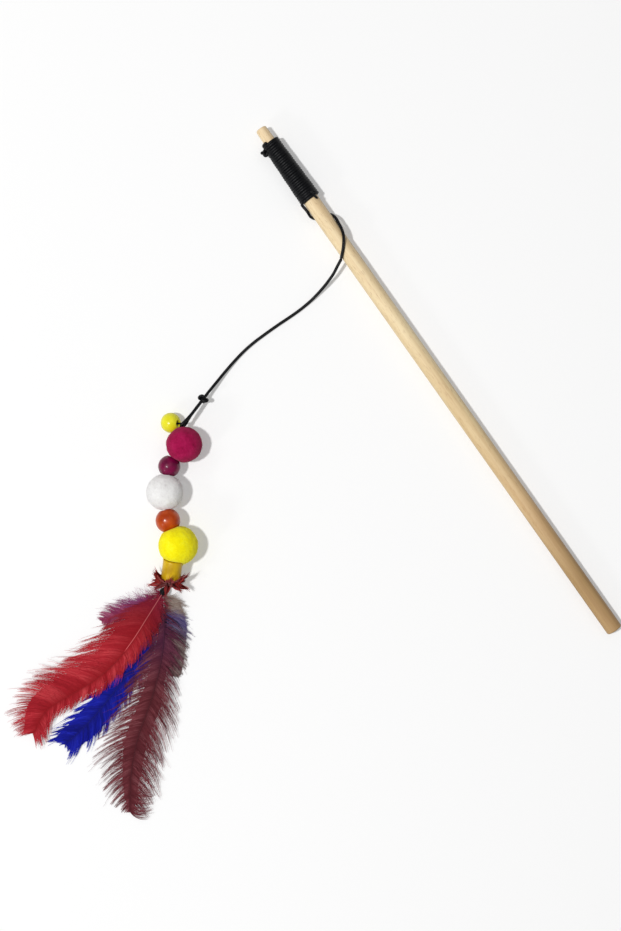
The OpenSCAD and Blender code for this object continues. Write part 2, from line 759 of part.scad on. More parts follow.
blue = [blue_heading, blue_length, blue_half, quill_places[2], low_fall,
    [0.038, 0.077, 0.076, 0.065, 0.042, 0],
    [[0.06, 0], [0.12, 0.3], [0.3, 0.8], [0.6, 0.95], [0.8, 0.9], [0.93, 0.7], [1, 0.1]],
    [[0.06, 0], [0.12, 0.3], [0.3, 0.8], [0.6, 0.95], [0.8, 1], [0.95, 0.8], [1, 0.1]]];
brown = [brown_heading, brown_length, brown_half, quill_places[3], side_fall,
    [0.005, 0.009, 0.012, 0.011, 0.006, 0],
    [[0.08, 0], [0.14, 0.5], [0.22, 0.9], [0.35, 1], [0.55, 0.8], [0.75, 0.6], [0.9, 0.4], [1, 0.08]],
    [[0.16, 0], [0.28, 0.4], [0.45, 0.6], [0.6, 0.6], [0.8, 0.5], [1, 0.06]]];
short_blue = [short_heading, short_length, short_half, quill_places[4], side_fall,
    [0.005, 0.01, 0.012, 0.008, 0.004, 0],
    [[0.16, 0], [0.28, 0.4], [0.45, 0.9], [0.65, 1], [0.85, 0.8], [1, 0.1]],
    [[0.12, 0], [0.22, 0.5], [0.45, 0.85], [0.65, 0.9], [0.85, 0.8], [1, 0.1]]];

function quill_start(f) = [tie_at.x, tie_at.y, 0] + f[3][0] * quill_apart * tie_side;
function shaft_point(f, k) =
    [tie_at.x, tie_at.y, 0] + f[1] * (
        (k + 1) / len(f[5]) * toward(f[0]) + f[5][k] * [-sin(f[0]), cos(f[0]), 0]
    );
function shaft(f) = concat(
    [quill_start(f) + (lay_gap - tie_depth / 2 + tie_floor) * toward(tie_heading)],
    curve(concat(
        [quill_start(f) + (tie_depth / 2 + quill_straight) * toward(tie_heading)],
        [for (k = [0:len(f[5]) - 1]) shaft_point(f, k)]
    ), stations)
);
function resting(f, p, up) =
    let(far = norm([p.x - tie_at.x, p.y - tie_at.y]))
    [p.x, p.y, tie_height * lookup(far / fall_reach, f[4]) + up];
function feather_points(f) =
    let(c = shaft(f), t = tangents(c), last = len(c) - 1)
    [for (i = [0:last])
        let(
            share = i / last,
            side = [-t[i].y, t[i].x, 0],
            q = quill_d / 2 * (1 - 0.72 * share),
            h = max(0.383 * q, min(vane_thick / 2, 0.6 * q)),
            wide_l = lookup(share, f[6]) * f[2] * left_barbs[i % len(left_barbs)],
            wide_r = lookup(share, f[7]) * f[2] * right_barbs[i % len(right_barbs)],
            wl = max(0.924 * q, wide_l),
            wr = max(0.924 * q, wide_r),
            hl = wide_l > 0 ? h : 0.383 * q,
            hr = wide_r > 0 ? h : 0.383 * q
        )
        for (v = [
            [wl, wl, -hl], [wl, wl, hl], [0.383 * q, 0, 0.924 * q], [-0.383 * q, 0, 0.924 * q],
            [-wr, wr, hr], [-wr, wr, -hr], [-0.383 * q, 0, -0.924 * q], [0.383 * q, 0, -0.924 * q]
        ])
            resting(f, c[i] + v[0] * side + (v[1] > q ? vane_slant * v[1] : 0) * t[i], v[2])
    ];
module feather(f, colour) {
    color(colour)
        polyhedron(points = feather_points(f), faces = tube_faces(len(shaft(f)), 8));
}
module red_feather() feather(red, red_colour);
module maroon_feather() feather(maroon, maroon_colour);
module blue_feather() feather(blue, blue_colour);
module brown_feather() feather(brown, brown_colour);
module short_blue_feather() feather(short_blue, blue_colour);

// The origin: the middle of the whole, on the table
all_feathers = [for (f = [red, maroon, blue, brown, short_blue]) each feather_points(f)];
front = min([for (p = all_feathers) p.y]);
back = max([for (p = wind_points) p.y]);
butt_x = to_table([stick_length, 0, stick_r - end_round]).x;
middle = [butt_x / 2, (front + back) / 2, 0];

echo(lean = lean, axis_height = axis_height, under_x = under_x, middle = middle);
echo(exit = cord_exit, knot = knot_at, entry = knot_entry, neck = neck_at, pink = pink_at, small = small_at);
echo(magenta = magenta_at, white = white_at, orange = orange_at, yellow = yellow_at);
echo(tube = tube_at, tube_end = tube_end, tie = tie_at, front = front, back = back);
echo(axes = [small_aim, magenta_aim, orange_aim, tube_aim]);
echo(lowest_feather = min([for (p = all_feathers) p.z]));

translate(-middle) stick();
translate(-middle) winding();
translate(-middle) winding_knot();
translate(-middle) winding_tail();
translate(-middle) loose_turn();
translate(-middle) free_cord();
translate(-middle) loop_knot();
translate(-middle) noose();
translate(-middle) bead_string_top();
translate(-middle) stopper_knot();
translate(-middle) small_yellow_bead();
translate(-middle) pink_felt_ball();
translate(-middle) magenta_bead();
translate(-middle) bead_string_middle();
translate(-middle) white_felt_ball();
translate(-middle) orange_bead();
translate(-middle) bead_string_bottom();
translate(-middle) yellow_felt_ball();
translate(-middle) yellow_tube_bead();
translate(-middle) feather_tuft();
translate(-middle) feather_tie();
translate(-middle) red_feather();
translate(-middle) maroon_feather();
translate(-middle) blue_feather();
translate(-middle) brown_feather();
translate(-middle) short_blue_feather();
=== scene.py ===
"""Cat teaser wand on a pale table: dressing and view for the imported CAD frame.

Places are in millimetres from the dowel's tip end (x along the dowel, y across it
towards the photograph's upper right, z up from the table), as in the CAD source, and
place() turns them into metres in the shared frame. Colours are sRGB in steps of 255.
"""

import json
import random
from bisect import bisect_left
from math import acos, asin, cos, hypot, pi, radians, sin, sqrt

import bmesh
import bpy
from mathutils import Matrix, Vector, noise


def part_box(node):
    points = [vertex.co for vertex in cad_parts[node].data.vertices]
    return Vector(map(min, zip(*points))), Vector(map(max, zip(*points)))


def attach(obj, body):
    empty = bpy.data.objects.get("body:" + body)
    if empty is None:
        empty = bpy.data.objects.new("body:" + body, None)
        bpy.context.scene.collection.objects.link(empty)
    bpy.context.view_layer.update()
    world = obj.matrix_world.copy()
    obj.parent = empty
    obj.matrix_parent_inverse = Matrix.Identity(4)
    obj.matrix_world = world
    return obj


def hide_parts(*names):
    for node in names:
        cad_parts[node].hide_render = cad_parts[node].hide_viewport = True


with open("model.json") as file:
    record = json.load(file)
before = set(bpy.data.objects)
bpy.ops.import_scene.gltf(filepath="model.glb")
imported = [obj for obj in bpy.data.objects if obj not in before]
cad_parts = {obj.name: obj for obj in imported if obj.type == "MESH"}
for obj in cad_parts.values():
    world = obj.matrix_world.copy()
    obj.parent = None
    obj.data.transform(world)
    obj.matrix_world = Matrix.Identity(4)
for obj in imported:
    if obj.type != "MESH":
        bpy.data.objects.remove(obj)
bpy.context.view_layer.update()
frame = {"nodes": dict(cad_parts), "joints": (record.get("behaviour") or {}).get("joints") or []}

MM = 0.001
UP = Vector((0, 0, 1))
joints = {j["name"]: j for j in frame["joints"]}
stick_low, stick_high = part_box("stick")
TIP_X = stick_low[0]
AXIS_Y = (stick_low[1] + stick_high[1]) / 2
STICK_R = (stick_high[1] - stick_low[1]) / 2 / MM
STICK_LENGTH = (stick_high[0] - stick_low[0]) / MM


def place(x, y, z):
    """A point given in mm from the dowel's tip end, its axis and the table."""
    return Vector((TIP_X + x * MM, AXIS_Y + y * MM, z * MM))


def back(point):
    """The same point in mm, from a place in metres."""
    return Vector(((point[0] - TIP_X) / MM, (point[1] - AXIS_Y) / MM, point[2] / MM))


def middle_of(node):
    """The middle of a CAD node's box, in mm."""
    low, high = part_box(node)
    return (back(low) + back(high)) / 2


def linked(name, data):
    """A new object in the scene."""
    thing = bpy.data.objects.new(name, data)
    bpy.context.scene.collection.objects.link(thing)
    return thing


def joint_at(name):
    return back(joints[name]["pos_m"])


def joint_axis(name):
    return Vector(joints[name]["axis"]).normalized()


# The camera

PHOTO_LONG_MM = 454.8
VIEW_CENTRE = place(148.3, -75.0, 5.0)
IMAGE_RIGHT = Vector((0.57741, 0.81645, 0))
IMAGE_UP = Vector((-0.81645, 0.57741, 0))
LENS_MM = 70
SENSOR_MM = 36

camera_data = bpy.data.cameras.new("camera")
camera_data.lens = LENS_MM
camera_data.sensor_fit = "VERTICAL"
camera_data.sensor_height = SENSOR_MM
camera = linked("camera", camera_data)
height = LENS_MM / SENSOR_MM * PHOTO_LONG_MM * MM
turn = Matrix((IMAGE_RIGHT, IMAGE_UP, UP)).transposed().to_4x4()
camera.matrix_world = Matrix.Translation(VIEW_CENTRE + height * UP) @ turn
bpy.context.scene.camera = camera
bpy.context.scene.view_settings.view_transform = "Standard"


# Helpers

def lookup(x, table):
    """A value between the points of a table of pairs."""
    if x <= table[0][0]:
        return table[0][1]
    for (x0, y0), (x1, y1) in zip(table, table[1:]):
        if x <= x1:
            return y0 + (y1 - y0) * (x - x0) / (x1 - x0)
    return table[-1][1]


def curve(points, steps):
    """A smooth curve through points."""
    out = []
    last = len(points) - 1
    for i in range(last):
        a, b, c, d = (Vector(points[k]) for k in (max(i - 1, 0), i, i + 1, min(i + 2, last)))
        for k in range(steps):
            t = k / steps
            out.append(0.5 * (2 * b + (c - a) * t + (2 * a - 5 * b + 4 * c - d) * t * t
                              + (3 * b - a - 3 * c + d) * t ** 3))
    out.append(Vector(points[last]))
    return out


def length_of(path):
    return sum((b - a).length for a, b in zip(path, path[1:]))


def tangent_at(path, i):
    """The direction of a path at one of its points."""
    return (path[min(i + 1, len(path) - 1)] - path[max(i - 1, 0)]).normalized()


def heading(degrees):
    """A level direction, by its angle from the dowel's."""
    a = radians(degrees)
    return Vector((cos(a), sin(a), 0))


def left_of(direction):
    """The level direction square to another, on its left."""
    return Vector((-direction.y, direction.x, 0))


def turned(u, v, angle):
    """The direction at an angle in radians from u towards v."""
    return cos(angle) * u + sin(angle) * v


def step_to(start, goal, distance):
    """The point at a distance from one point towards another."""
    return start + distance * (goal - start).normalized()


def linear(r, g, b):
    """An sRGB colour given in steps of 255, as Blender's linear colour."""
    def one(c):
        c /= 255
        return c / 12.92 if c <= 0.04045 else ((c + 0.055) / 1.055) ** 2.4
    return (one(r), one(g), one(b), 1)


# The rings of a tube's rounded end: how far out and how wide, in shares of its radius
ROUND_END = [(0.97, 0.25), (0.87, 0.5), (0.6, 0.8), (0.3, 0.954)]


class Form:
    """One piece's points and faces in mm, with what the feathers' materials read.

    shade is a barb's tone, along the place on it, and far the barb's on the feather.
    """

    def __init__(self):
        self.points, self.faces, self.uv = [], [], []
        self.shade, self.along, self.far = [], [], []

    def add(self, point, shade=0.5, along=0.0, uv=(0.0, 0.0), far=0.0):
        self.points.append(place(*point))
        self.shade.append(shade)
        self.along.append(along)
        self.far.append(far)
        self.uv.append(uv)
        return len(self.points) - 1

    def tube(self, path, radius, sides):
        """A swept tube with rounded ends; radius may be a function of the share."""
        path = [Vector(p) for p in path]
        size = radius if callable(radius) else (lambda s: radius)
        total = length_of(path)
        r0, r1 = size(0), size(1)
        head = (path[0] - path[1]).normalized()
        foot = (path[-1] - path[-2]).normalized()
        rings = [(path[0] + head * r0 * a, r0 * b) for a, b in ROUND_END]
        rings += [(p, None) for p in path]
        rings += [(path[-1] + foot * r1 * a, r1 * b) for a, b in reversed(ROUND_END)]
        centres = [c for c, _ in rings]
        side = Vector((0.3, 0.2, 1))
        gone = 0.0
        start = len(self.points)
        for i, (c, r) in enumerate(rings):
            tangent = tangent_at(centres, i)
            side = (side - tangent * side.dot(tangent)).normalized()
            other = tangent.cross(side)
            if i:
                gone += (c - centres[i - 1]).length
            share = min(1, gone / total)
            r = size(share) if r is None else r
            for k in range(sides):
                out = turned(side, other, 2 * pi * k / sides)
                self.add(c + r * out, along=share, uv=(k / sides, gone))
        for i in range(len(rings) - 1):
            for k in range(sides):
                a = start + i * sides + k
                b = start + i * sides + (k + 1) % sides
                self.faces.append((a, b, b + sides, a + sides))
        self.faces.append(tuple(start + k for k in reversed(range(sides))))
        end = start + (len(rings) - 1) * sides
        self.faces.append(tuple(end + k for k in range(sides)))

    def band(self, path, edge, shade, span=(0, 1), far=0.0):
        """A flat strip along a path; edge gives the vector from the path to its edge."""
        before = None
        for i, p in enumerate(path):
            share = i / (len(path) - 1)
            wide = edge(i, share)
            along = span[0] + (span[1] - span[0]) * share
            pair = [self.add(p + c * wide, shade, along, far=far) for c in (1, -1)]
            if before:
                self.faces.append((before[0], before[1], pair[1], pair[0]))
            before = pair

    def ribbon(self, path, half, tilt, shade, far=0.0):
        """A pointed strip along a path, level across but for its tilt."""
        def edge(i, share):
            tangent = tangent_at(path, i)
            across = Vector((-tangent.y, tangent.x, tilt)).normalized()
            return half * (1 - 0.75 * share ** 1.5) * across

        self.band(path, edge, shade, far=far)

    def strip(self, path, across, half, shade, span):
        """A strip always wide in the same direction, on a part of its hackle's length."""
        self.band(path, lambda _, share: half(share) * across, shade, span)

    def web(self, rows, shades, far):
        """A sheet through rows of points that all have the same count."""
        first = len(self.points)
        count = len(rows[0])
        for row, tones, share in zip(rows, shades, far):
            for k, (p, tone) in enumerate(zip(row, tones)):
                self.add(p, tone, k / (count - 1), far=share)
        for i in range(len(rows) - 1):
            for k in range(count - 1):
                a = first + i * count + k
                self.faces.append((a, a + 1, a + 1 + count, a + count))

    def build(self, name, material, body, node, smooth=True):
        mesh = bpy.data.meshes.new(name)
        mesh.from_pydata(self.points, [], self.faces)
        for label, values in (("shade", self.shade), ("along", self.along), ("far", self.far)):
            attribute = mesh.attributes.new(label, "FLOAT", "POINT")
            attribute.data.foreach_set("value", values)
        layer = mesh.uv_layers.new(name="UVMap")
        for loop in mesh.loops:
            layer.data[loop.index].uv = self.uv[loop.vertex_index]
        mesh.polygons.foreach_set("use_smooth", [smooth] * len(mesh.polygons))
        mesh.materials.append(material)
        piece = linked(name, mesh)
        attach(piece, body)
        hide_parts(node)
        return piece


# Materials

class Look:
    """A Principled material with a few procedural nodes."""

    def __init__(self, name, roughness, specular, sheen=0.0, coat=0.0):
        self.material = bpy.data.materials.new(name)
        self.material.use_nodes = True
        self.nodes = self.material.node_tree.nodes
        self.shader = self.nodes["Principled BSDF"]
        self.set("Roughness", roughness)
        self.set("Specular IOR Level", specular)
        self.set("Sheen Weight", sheen)
        self.set("Coat Weight", coat)
        self.set("Coat Roughness", 0.16)

    def set(self, socket, value):
        self.shader.inputs[socket].default_value = value

    def link(self, source, target):
        self.material.node_tree.links.new(source, target)

    def node(self, kind, inputs=None, **options):
        node = self.nodes.new("ShaderNode" + kind)
        for key, value in options.items():
            setattr(node, key, value)
        for key, value in (inputs or {}).items():
            if isinstance(value, bpy.types.NodeSocket):
                self.link(value, node.inputs[key])
            else:
                node.inputs[key].default_value = value
        return node

    def coordinates(self, scale=(1, 1, 1)):
        source = self.node("TexCoord").outputs["Object"]
        return self.node("Mapping", {"Vector": source, "Scale": scale}).outputs[0]

    def noise(self, scale, detail=4.0, rough=0.55, vector=None):
        vector = vector or self.coordinates()
        return self.node("TexNoise", {"Vector": vector, "Scale": scale, "Detail": detail,
                                      "Roughness": rough}).outputs["Fac"]

    def attribute(self, name):
        return self.node("Attribute", attribute_name=name).outputs["Fac"]

    def ramp(self, fac, stops):
        """A ramp of linear colours, each stop (position, colour)."""
        node = self.node("ValToRGB", {"Fac": fac})
        elements = node.color_ramp.elements
        while len(elements) < len(stops):
            elements.new(0.5)
        for element, (position, colour) in zip(elements, stops):
            element.position = position
            element.color = colour
        return node.outputs["Color"]

    def tones(self, fac, stops):
        """A ramp of sRGB colours."""
        return self.ramp(fac, [(position, linear(*rgb)) for position, rgb in stops])

    def weights(self, fac, stops):
        """A ramp of plain numbers."""
        return self.ramp(fac, [(position, (w, w, w, 1)) for position, w in stops])

    def mix(self, fac, a, b, kind="MIX"):
        node = self.node("Mix", {0: fac, 6: a, 7: b}, data_type="RGBA", blend_type=kind)
        return node.outputs[2]

    def math(self, kind, a, b=0.0):
        return self.node("Math", {0: a, 1: b}, operation=kind).outputs[0]

    def blend(self, a, b, share):
        """a plus a share of b."""
        return self.math("ADD", a, self.math("MULTIPLY", b, share))

    def colour(self, socket):
        self.link(socket, self.shader.inputs["Base Color"])

    def bump(self, height, distance, strength):
        normal = self.node("Bump", {"Height": height, "Distance": distance, "Strength": strength})
        self.link(normal.outputs[0], self.shader.inputs["Normal"])

    def roughness(self, fac, low, high):
        node = self.node("MapRange", {"Value": fac, "To Min": low, "To Max": high})
        self.link(node.outputs[0], self.shader.inputs["Roughness"])


def cord_look():
    """Black waxed cord: fine slanting strands, and a faint bluish sheen."""
    look = Look("black_cord", 0.5, specular=0.2)
    uv = look.node("UVMap").outputs[0]
    split = look.node("SeparateXYZ", {"Vector": uv})
    around = look.math("MULTIPLY", split.outputs[0], 4 * pi)
    along = look.math("MULTIPLY", split.outputs[1], 5.0)
    one = look.math("SINE", look.math("ADD", around, along))
    two = look.math("SINE", look.math("SUBTRACT", around, along))
    weave = look.math("MAXIMUM", one, two)
    grit = look.noise(2500)
    look.bump(look.blend(weave, grit, 0.8), 0.00006, 0.35)
    look.colour(look.tones(look.blend(grit, weave, 0.2), [(0.3, (3, 3, 4)), (0.8, (11, 12, 17))]))
    look.roughness(grit, 0.38, 0.56)
    return look.material


def felt_look(name, deep, mid, light, sheen):
    """Fulled wool: mottled fibre tone, soft pits and a woolly sheen."""
    look = Look(name, 0.95, specular=0.1, sheen=sheen)
    patches = look.noise(260, 5.0, 0.6)
    fibres = look.noise(1500, 5.0, 0.7, look.coordinates((1, 1.6, 0.8)))
    tone = look.blend(look.math("MULTIPLY", patches, 0.55), fibres, 0.45)
    look.colour(look.tones(tone, [(0.34, deep), (0.5, mid), (0.66, light)]))
    pits = look.noise(420, 3.0, 0.5)
    look.bump(look.blend(pits, fibres, 0.6), 0.0005, 0.5)
    return look.material


def paint_look(name, deep, light):
    """Gloss paint on a turned bead: faint brush tone, small dimples and worn patches."""
    look = Look(name, 0.38, specular=0.25, coat=0.22)
    patches = look.noise(220, 3.0)
    specks = look.noise(1900, 2.0)
    look.colour(look.mix(look.math("MULTIPLY", specks, 0.25),
                         look.tones(patches, [(0.35, deep), (0.65, light)]), linear(*deep)))
    look.bump(look.blend(look.noise(420, 2.0), specks, 0.2), 0.00016, 0.5)
    look.roughness(patches, 0.28, 0.45)
    return look.material


def wood_look():
    """Beech: long fine grain, short dark flecks, and painted shade: a tone that darkens the wood
    towards the butt, where less light falls.
    """
    look = Look("dowel_wood", 0.55, specular=0.35)
    place_x = look.node("SeparateXYZ", {"Vector": look.coordinates()}).outputs[0]
    share = look.node("MapRange", {"Value": place_x, "From Min": TIP_X,
                                   "From Max": TIP_X + STICK_LENGTH * MM}).outputs[0]
    # Painted shade: this ramp darkens the wood from the tip towards the butt, standing in for the
    # light that falls off there
    tone = look.tones(share, [
        (0.0, (246, 226, 190)), (0.4, (252, 236, 198)), (0.58, (238, 218, 176)),
        (0.75, (220, 192, 150)), (0.9, (180, 150, 106)), (1, (188, 157, 114))])
    grain = look.noise(1.0, 6.0, 0.6, look.coordinates((26, 620, 620)))
    wide = look.noise(1.0, 3.0, 0.5, look.coordinates((9, 190, 190)))
    flecks = look.noise(1.0, 2.0, 0.5, look.coordinates((300, 2300, 2300)))
    fleck = look.weights(flecks, [(0.6, 0), (0.68, 1)])
    grained = look.mix(0.45, tone, look.tones(grain, [
        (0.35, (222, 200, 168)), (0.6, (255, 250, 240))]), "MULTIPLY")
    broad = look.mix(0.3, grained, look.tones(wide, [
        (0.35, (214, 190, 158)), (0.65, (255, 252, 244))]), "MULTIPLY")
    look.colour(look.mix(look.math("MULTIPLY", fleck, 0.4), broad, linear(168, 132, 92)))
    look.bump(look.blend(grain, flecks, 0.5), 0.00012, 0.5)
    look.roughness(grain, 0.48, 0.68)
    return look.material


def feather_look(name, deep, mid, light, root, stained=(), mid_at=0.55):
    """A dyed vane: each barb has its own shade, deeper at its root by the shaft.

    root is the colour by the shaft; stained are colours along the feather's length,
    each (share, colour, how much). A shade of 1 marks the shaft's pale part.
    """
    look = Look(name, 0.7, specular=0.12, sheen=0.2)
    grit = look.noise(1400, 3.0)
    tone = look.blend(look.attribute("shade"), grit, 0.2)
    near = look.weights(look.attribute("along"), [(0, 0.85), (0.5, 0)])
    shades = look.tones(tone, [(0.2, deep), (mid_at, mid), (0.95, light)])
    own = look.mix(near, shades, linear(*root))
    if stained:
        far = look.attribute("far")
        much = look.weights(far, [(share, weight) for share, _, weight in stained])
        own = look.mix(much, own, look.tones(far, [(share, rgb) for share, rgb, _ in stained]))
    pale = look.weights(look.attribute("shade"), [(0.97, 0), (1, 1)])
    look.colour(look.mix(look.math("MULTIPLY", pale, 0.32), own, linear(225, 130, 130)))
    return look.material


BLACK = cord_look()
PINK = felt_look("pink_felt", (138, 9, 57), (162, 18, 74), (181, 33, 89), 0.06)
WHITE = felt_look("white_felt", (224, 222, 221), (239, 238, 237), (246, 246, 245), 0.25)
YELLOW = felt_look("yellow_felt", (240, 222, 0), (253, 241, 8), (255, 251, 50), 0.12)
LEMON = paint_look("lemon_paint", (224, 217, 12), (242, 236, 52))
MAGENTA = paint_look("magenta_paint", (90, 0, 47), (128, 0, 66))
ORANGE = paint_look("orange_paint", (164, 53, 3), (198, 79, 8))
GOLDEN = paint_look("golden_paint", (188, 147, 7), (219, 181, 22))
WOOD = wood_look()
RED_LOOK = feather_look(
    "red_feather", (150, 14, 28), (180, 32, 46), (208, 70, 76), (140, 5, 18),
    [(0, (96, 10, 48), 0.8), (0.16, (120, 4, 22), 0.75), (0.38, (150, 8, 22), 0)])
MAROON_LOOK = feather_look(
    "maroon_feather", (86, 26, 34), (110, 42, 50), (142, 78, 84), (70, 14, 24),
    [(0, (70, 14, 40), 0.8), (0.25, (58, 22, 66), 0.45), (0.5, (70, 20, 30), 0)])
BLUE_LOOK = feather_look(
    "blue_feather", (0, 6, 116), (2, 14, 158), (32, 44, 186), (0, 4, 108),
    [(0, (46, 10, 70), 0.7), (0.3, (20, 10, 110), 0)])
FRINGE_LOOK = feather_look(
    "blue_feather_short", (106, 30, 78), (144, 58, 100), (178, 114, 146), (130, 20, 54),
    [(0, (152, 26, 56), 0.7), (0.4, (112, 60, 130), 0.35), (0.8, (160, 60, 92), 0.4)],
    mid_at=0.5)
BROWN_LOOK = feather_look(
    "brown_feather", (112, 92, 84), (148, 130, 120), (182, 172, 162), (122, 94, 88),
    [(0.2, (150, 130, 120), 0.3), (0.29, (60, 52, 126), 0.85), (0.42, (66, 58, 120), 0.7),
     (0.56, (84, 60, 72), 0.45)])
TUFT_LOOK = feather_look(
    "tuft_feather", (134, 24, 28), (166, 42, 40), (192, 76, 58), (66, 5, 18))


# Cords

# The cord, the winding's ends and the dowel's worn tip under it, as in the CAD source
CORD_D = 1.5
WIND_START = 7.0
WIND_END = 42.5
WIND_END_ANGLE = 130
UNDER_X = 52.0
TIP_R = 2.8
WORN_R = 3.96
TAPER_END = 43.0
LAY_GAP = 0.06
TURN_RADIUS = STICK_R + CORD_D / 2 + LAY_GAP
LEAN = asin((TURN_RADIUS + CORD_D / 2 - STICK_R) / (STICK_LENGTH - UNDER_X))
AXIS_HEIGHT = TURN_RADIUS + CORD_D / 2 + UNDER_X * sin(LEAN)


def on_stick(x, radius, degrees):
    """A point round the dowel's leaning axis; 0 degrees is +Y and 90 is the top."""
    a = radians(degrees)
    up = radius * sin(a)
    return Vector((x * cos(LEAN) + up * sin(LEAN), radius * cos(a),
                   AXIS_HEIGHT + up * cos(LEAN) - x * sin(LEAN)))


EXIT = joint_at("cord_swing")
ENTRY = joint_at("lure_swing")
KNOT = Vector((91.6, -99.0, 5.8))
NECK = Vector((96.303, -113.559, 8.9))

# Where the loose turn leaves the winding: how far past its end, radius and angle
turn_start = [(-CORD_D / 2, WORN_R + CORD_D / 2, 124), (-0.68, TURN_RADIUS + 0.5, 144)]
# Its way on: how far past the winding, and the angle round the dowel
turn_route = [(-0.4, 161.5), (0.1, 166.5), (0.9, 169.5), (2.3, 171), (4.2, 173), (6.6, 190),
              (8.4, 225), (9.1, 248), (9.5, 270), (10.2, 300), (11.4, 330), (14, 368),
              (17, 384), (20.4, 396), (23.6, 415), (26.2, 438), (28.6, 462), (30.2, 482)]
# How far its first places stand off the dowel
turn_lift = [0.42, 0.42, 0.3, 0.12] + [0] * (len(turn_route) - 4)
turn_places = [on_stick(WIND_END + x, TURN_RADIUS + lift, a)
               for (x, a), lift in zip(turn_route, turn_lift)]
wrap_path = curve([on_stick(WIND_END + x, r, a) for x, r, a in turn_start] + turn_places
                  + [EXIT - 0.3 * (EXIT - turn_places[-1])], 5)
# The free cord's way over the table
cord_route = [(76.6, -8.2, 8), (78.5, -12, 6.6), (80.1, -16.8, 4.7), (81.4, -22.2, 2.7),
              (82.4, -28, 1.3), (82.9, -34, 0.8), (83, -40, 0.8), (82.8, -48, 0.8),
              (82.8, -56, 0.8), (83, -63, 0.8), (83.7, -69.5, 0.9), (85.1, -76.5, 1.3),
              (86.9, -83.5, 2.3), (88.8, -90, 3.7), (90.5, -95.8, 5.1)]
free_path = curve([EXIT] + cord_route + [ENTRY, step_to(KNOT, ENTRY, 1.3)], 6)

STRING_D = 1.0
small_axis = joint_axis("small_bead_spin")
pink_aim = heading(-34.8)
noose_aim = (NECK - KNOT).normalized()
noose_up = (UP - noose_aim * noose_aim.z).normalized()
noose_out = (small_axis + pink_aim).normalized()
noose_normal = small_axis.cross(pink_aim).normalized()
strand_off = CORD_D / 2 + LAY_GAP
clear = STRING_D / 2 + CORD_D / 2 + LAY_GAP
noose_reach = (clear + LAY_GAP) / sin(acos(small_axis.dot(pink_aim)) / 2)


def round_neck(degrees):
    """A point of the noose's turn round the bead string."""
    a = radians(degrees)
    return (NECK + noose_reach * cos(a) * noose_out + (clear + LAY_GAP) * sin(a) * noose_normal)


noose_start = KNOT + 1.2 * noose_aim
noose_lean = (noose_up + noose_normal).normalized()
noose_behind = NECK - 1.5 * CORD_D * noose_aim
noose_route = (
    [noose_start.lerp(NECK, t) + strand_off * noose_up for t in (0, 0.3, 0.6)]
    + [noose_behind + clear * noose_lean]
    + [round_neck(a) for a in (90, 45, 0, -45, -90)]
    + [noose_behind - clear * noose_lean]
    + [noose_start.lerp(NECK, t) - strand_off * noose_up for t in (0.6, 0.3, 0)])
noose_path = curve(noose_route, 6)


def black_tube(name, path, radius, sides, body, node):
    """A piece of black cord, thread or string along a path."""
    form = Form()
    form.tube(path, radius, sides)
    return form.build(name, BLACK, body, node)


def knot_piece(name, centre, aim, ring_r, cord_r, body, node):
    """An overhand knot: a trefoil of cord, drawn tight round the line of the cord."""
    aim = aim.normalized()
    side = UP.cross(aim).normalized()
    up = aim.cross(side)
    path = []
    steps = 96
    drawn = 0.985
    for i in range(steps + 1):
        a = 2 * pi * i / steps * drawn
        x = ring_r * 0.42 * (sin(a) + 2 * sin(2 * a))
        y = ring_r * 0.36 * (cos(a) - 2 * cos(2 * a))
        z = -ring_r * 0.5 * sin(3 * a)
        path.append(centre + x * side + z * aim + y * up)
    return black_tube(name, path, cord_r, 14, body, node)


CORD_SIDES = 16
wrap = black_tube("cord_turn", wrap_path, CORD_D / 2, CORD_SIDES, "wand", "loose_turn")
free = black_tube("cord_free", free_path, CORD_D / 2, CORD_SIDES, "cord", "free_cord")
noose = black_tube("cord_noose", noose_path, CORD_D / 2, CORD_SIDES, "lure_top", "noose")
loop_knot = knot_piece("knot_loop", KNOT, NECK - KNOT, ring_r=1.75, cord_r=0.72,
                       body="lure_top", node="loop_knot")


# The winding, its knot and its cut end

TURNS = 28
RINGS = 40
# How much fuller the wound cord is drawn, so that its turns close up
FULLER = 0.08
PITCH = (WIND_END - WIND_START - CORD_D) / TURNS
winding_path = []
for i in range(TURNS * RINGS + 1):
    t = i / RINGS
    x = WIND_START + CORD_D / 2 + t * PITCH
    wavy = 0.07 * sin(2.3 * t) + 0.04 * sin(5.1 * t + 1)
    r = TIP_R + (WORN_R - TIP_R) * x / TAPER_END + CORD_D / 2 - 0.04 + 0.05 * sin(0.9 * t)
    winding_path.append(on_stick(x + wavy, r, WIND_END_ANGLE - 360 * (TURNS - t)))
black_tube("winding_cord", winding_path, CORD_D / 2 + FULLER, 12, "wand", "winding")

start_knot = middle_of("winding_knot") + Vector((0.6, 0.9, 0))
knot_piece("winding_start_knot", start_knot, Vector((0.3, -0.5, -1)), ring_r=1.12,
           cord_r=0.85, body="wand", node="winding_knot")
tail_at = middle_of("winding_tail")
tail_path = curve([(WIND_END + x, tail_at.y + y, tail_at.z + z) for x, y, z in (
    (-2.5, -0.3, 0.2), (-0.6, 0, 0), (0.5, 0.15, -0.15), (1.3, 0.4, -0.4))], 5)
black_tube("winding_cut_end", tail_path, lambda s: CORD_D / 2 * (1 - 0.2 * s), 14, "wand",
           "winding_tail")

for wood_slot in frame["nodes"]["stick"].material_slots:
    wood_slot.material = WOOD


# The bead string

def centre_of(node, x_high, y_high):
    """A ball's centre and radius in mm, from the two sides that nothing presses in."""
    low, high = (back(c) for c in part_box(node))
    r = high.z / 2
    return Vector((high.x - r if x_high else low.x + r, high.y - r if y_high else low.y + r, r)), r


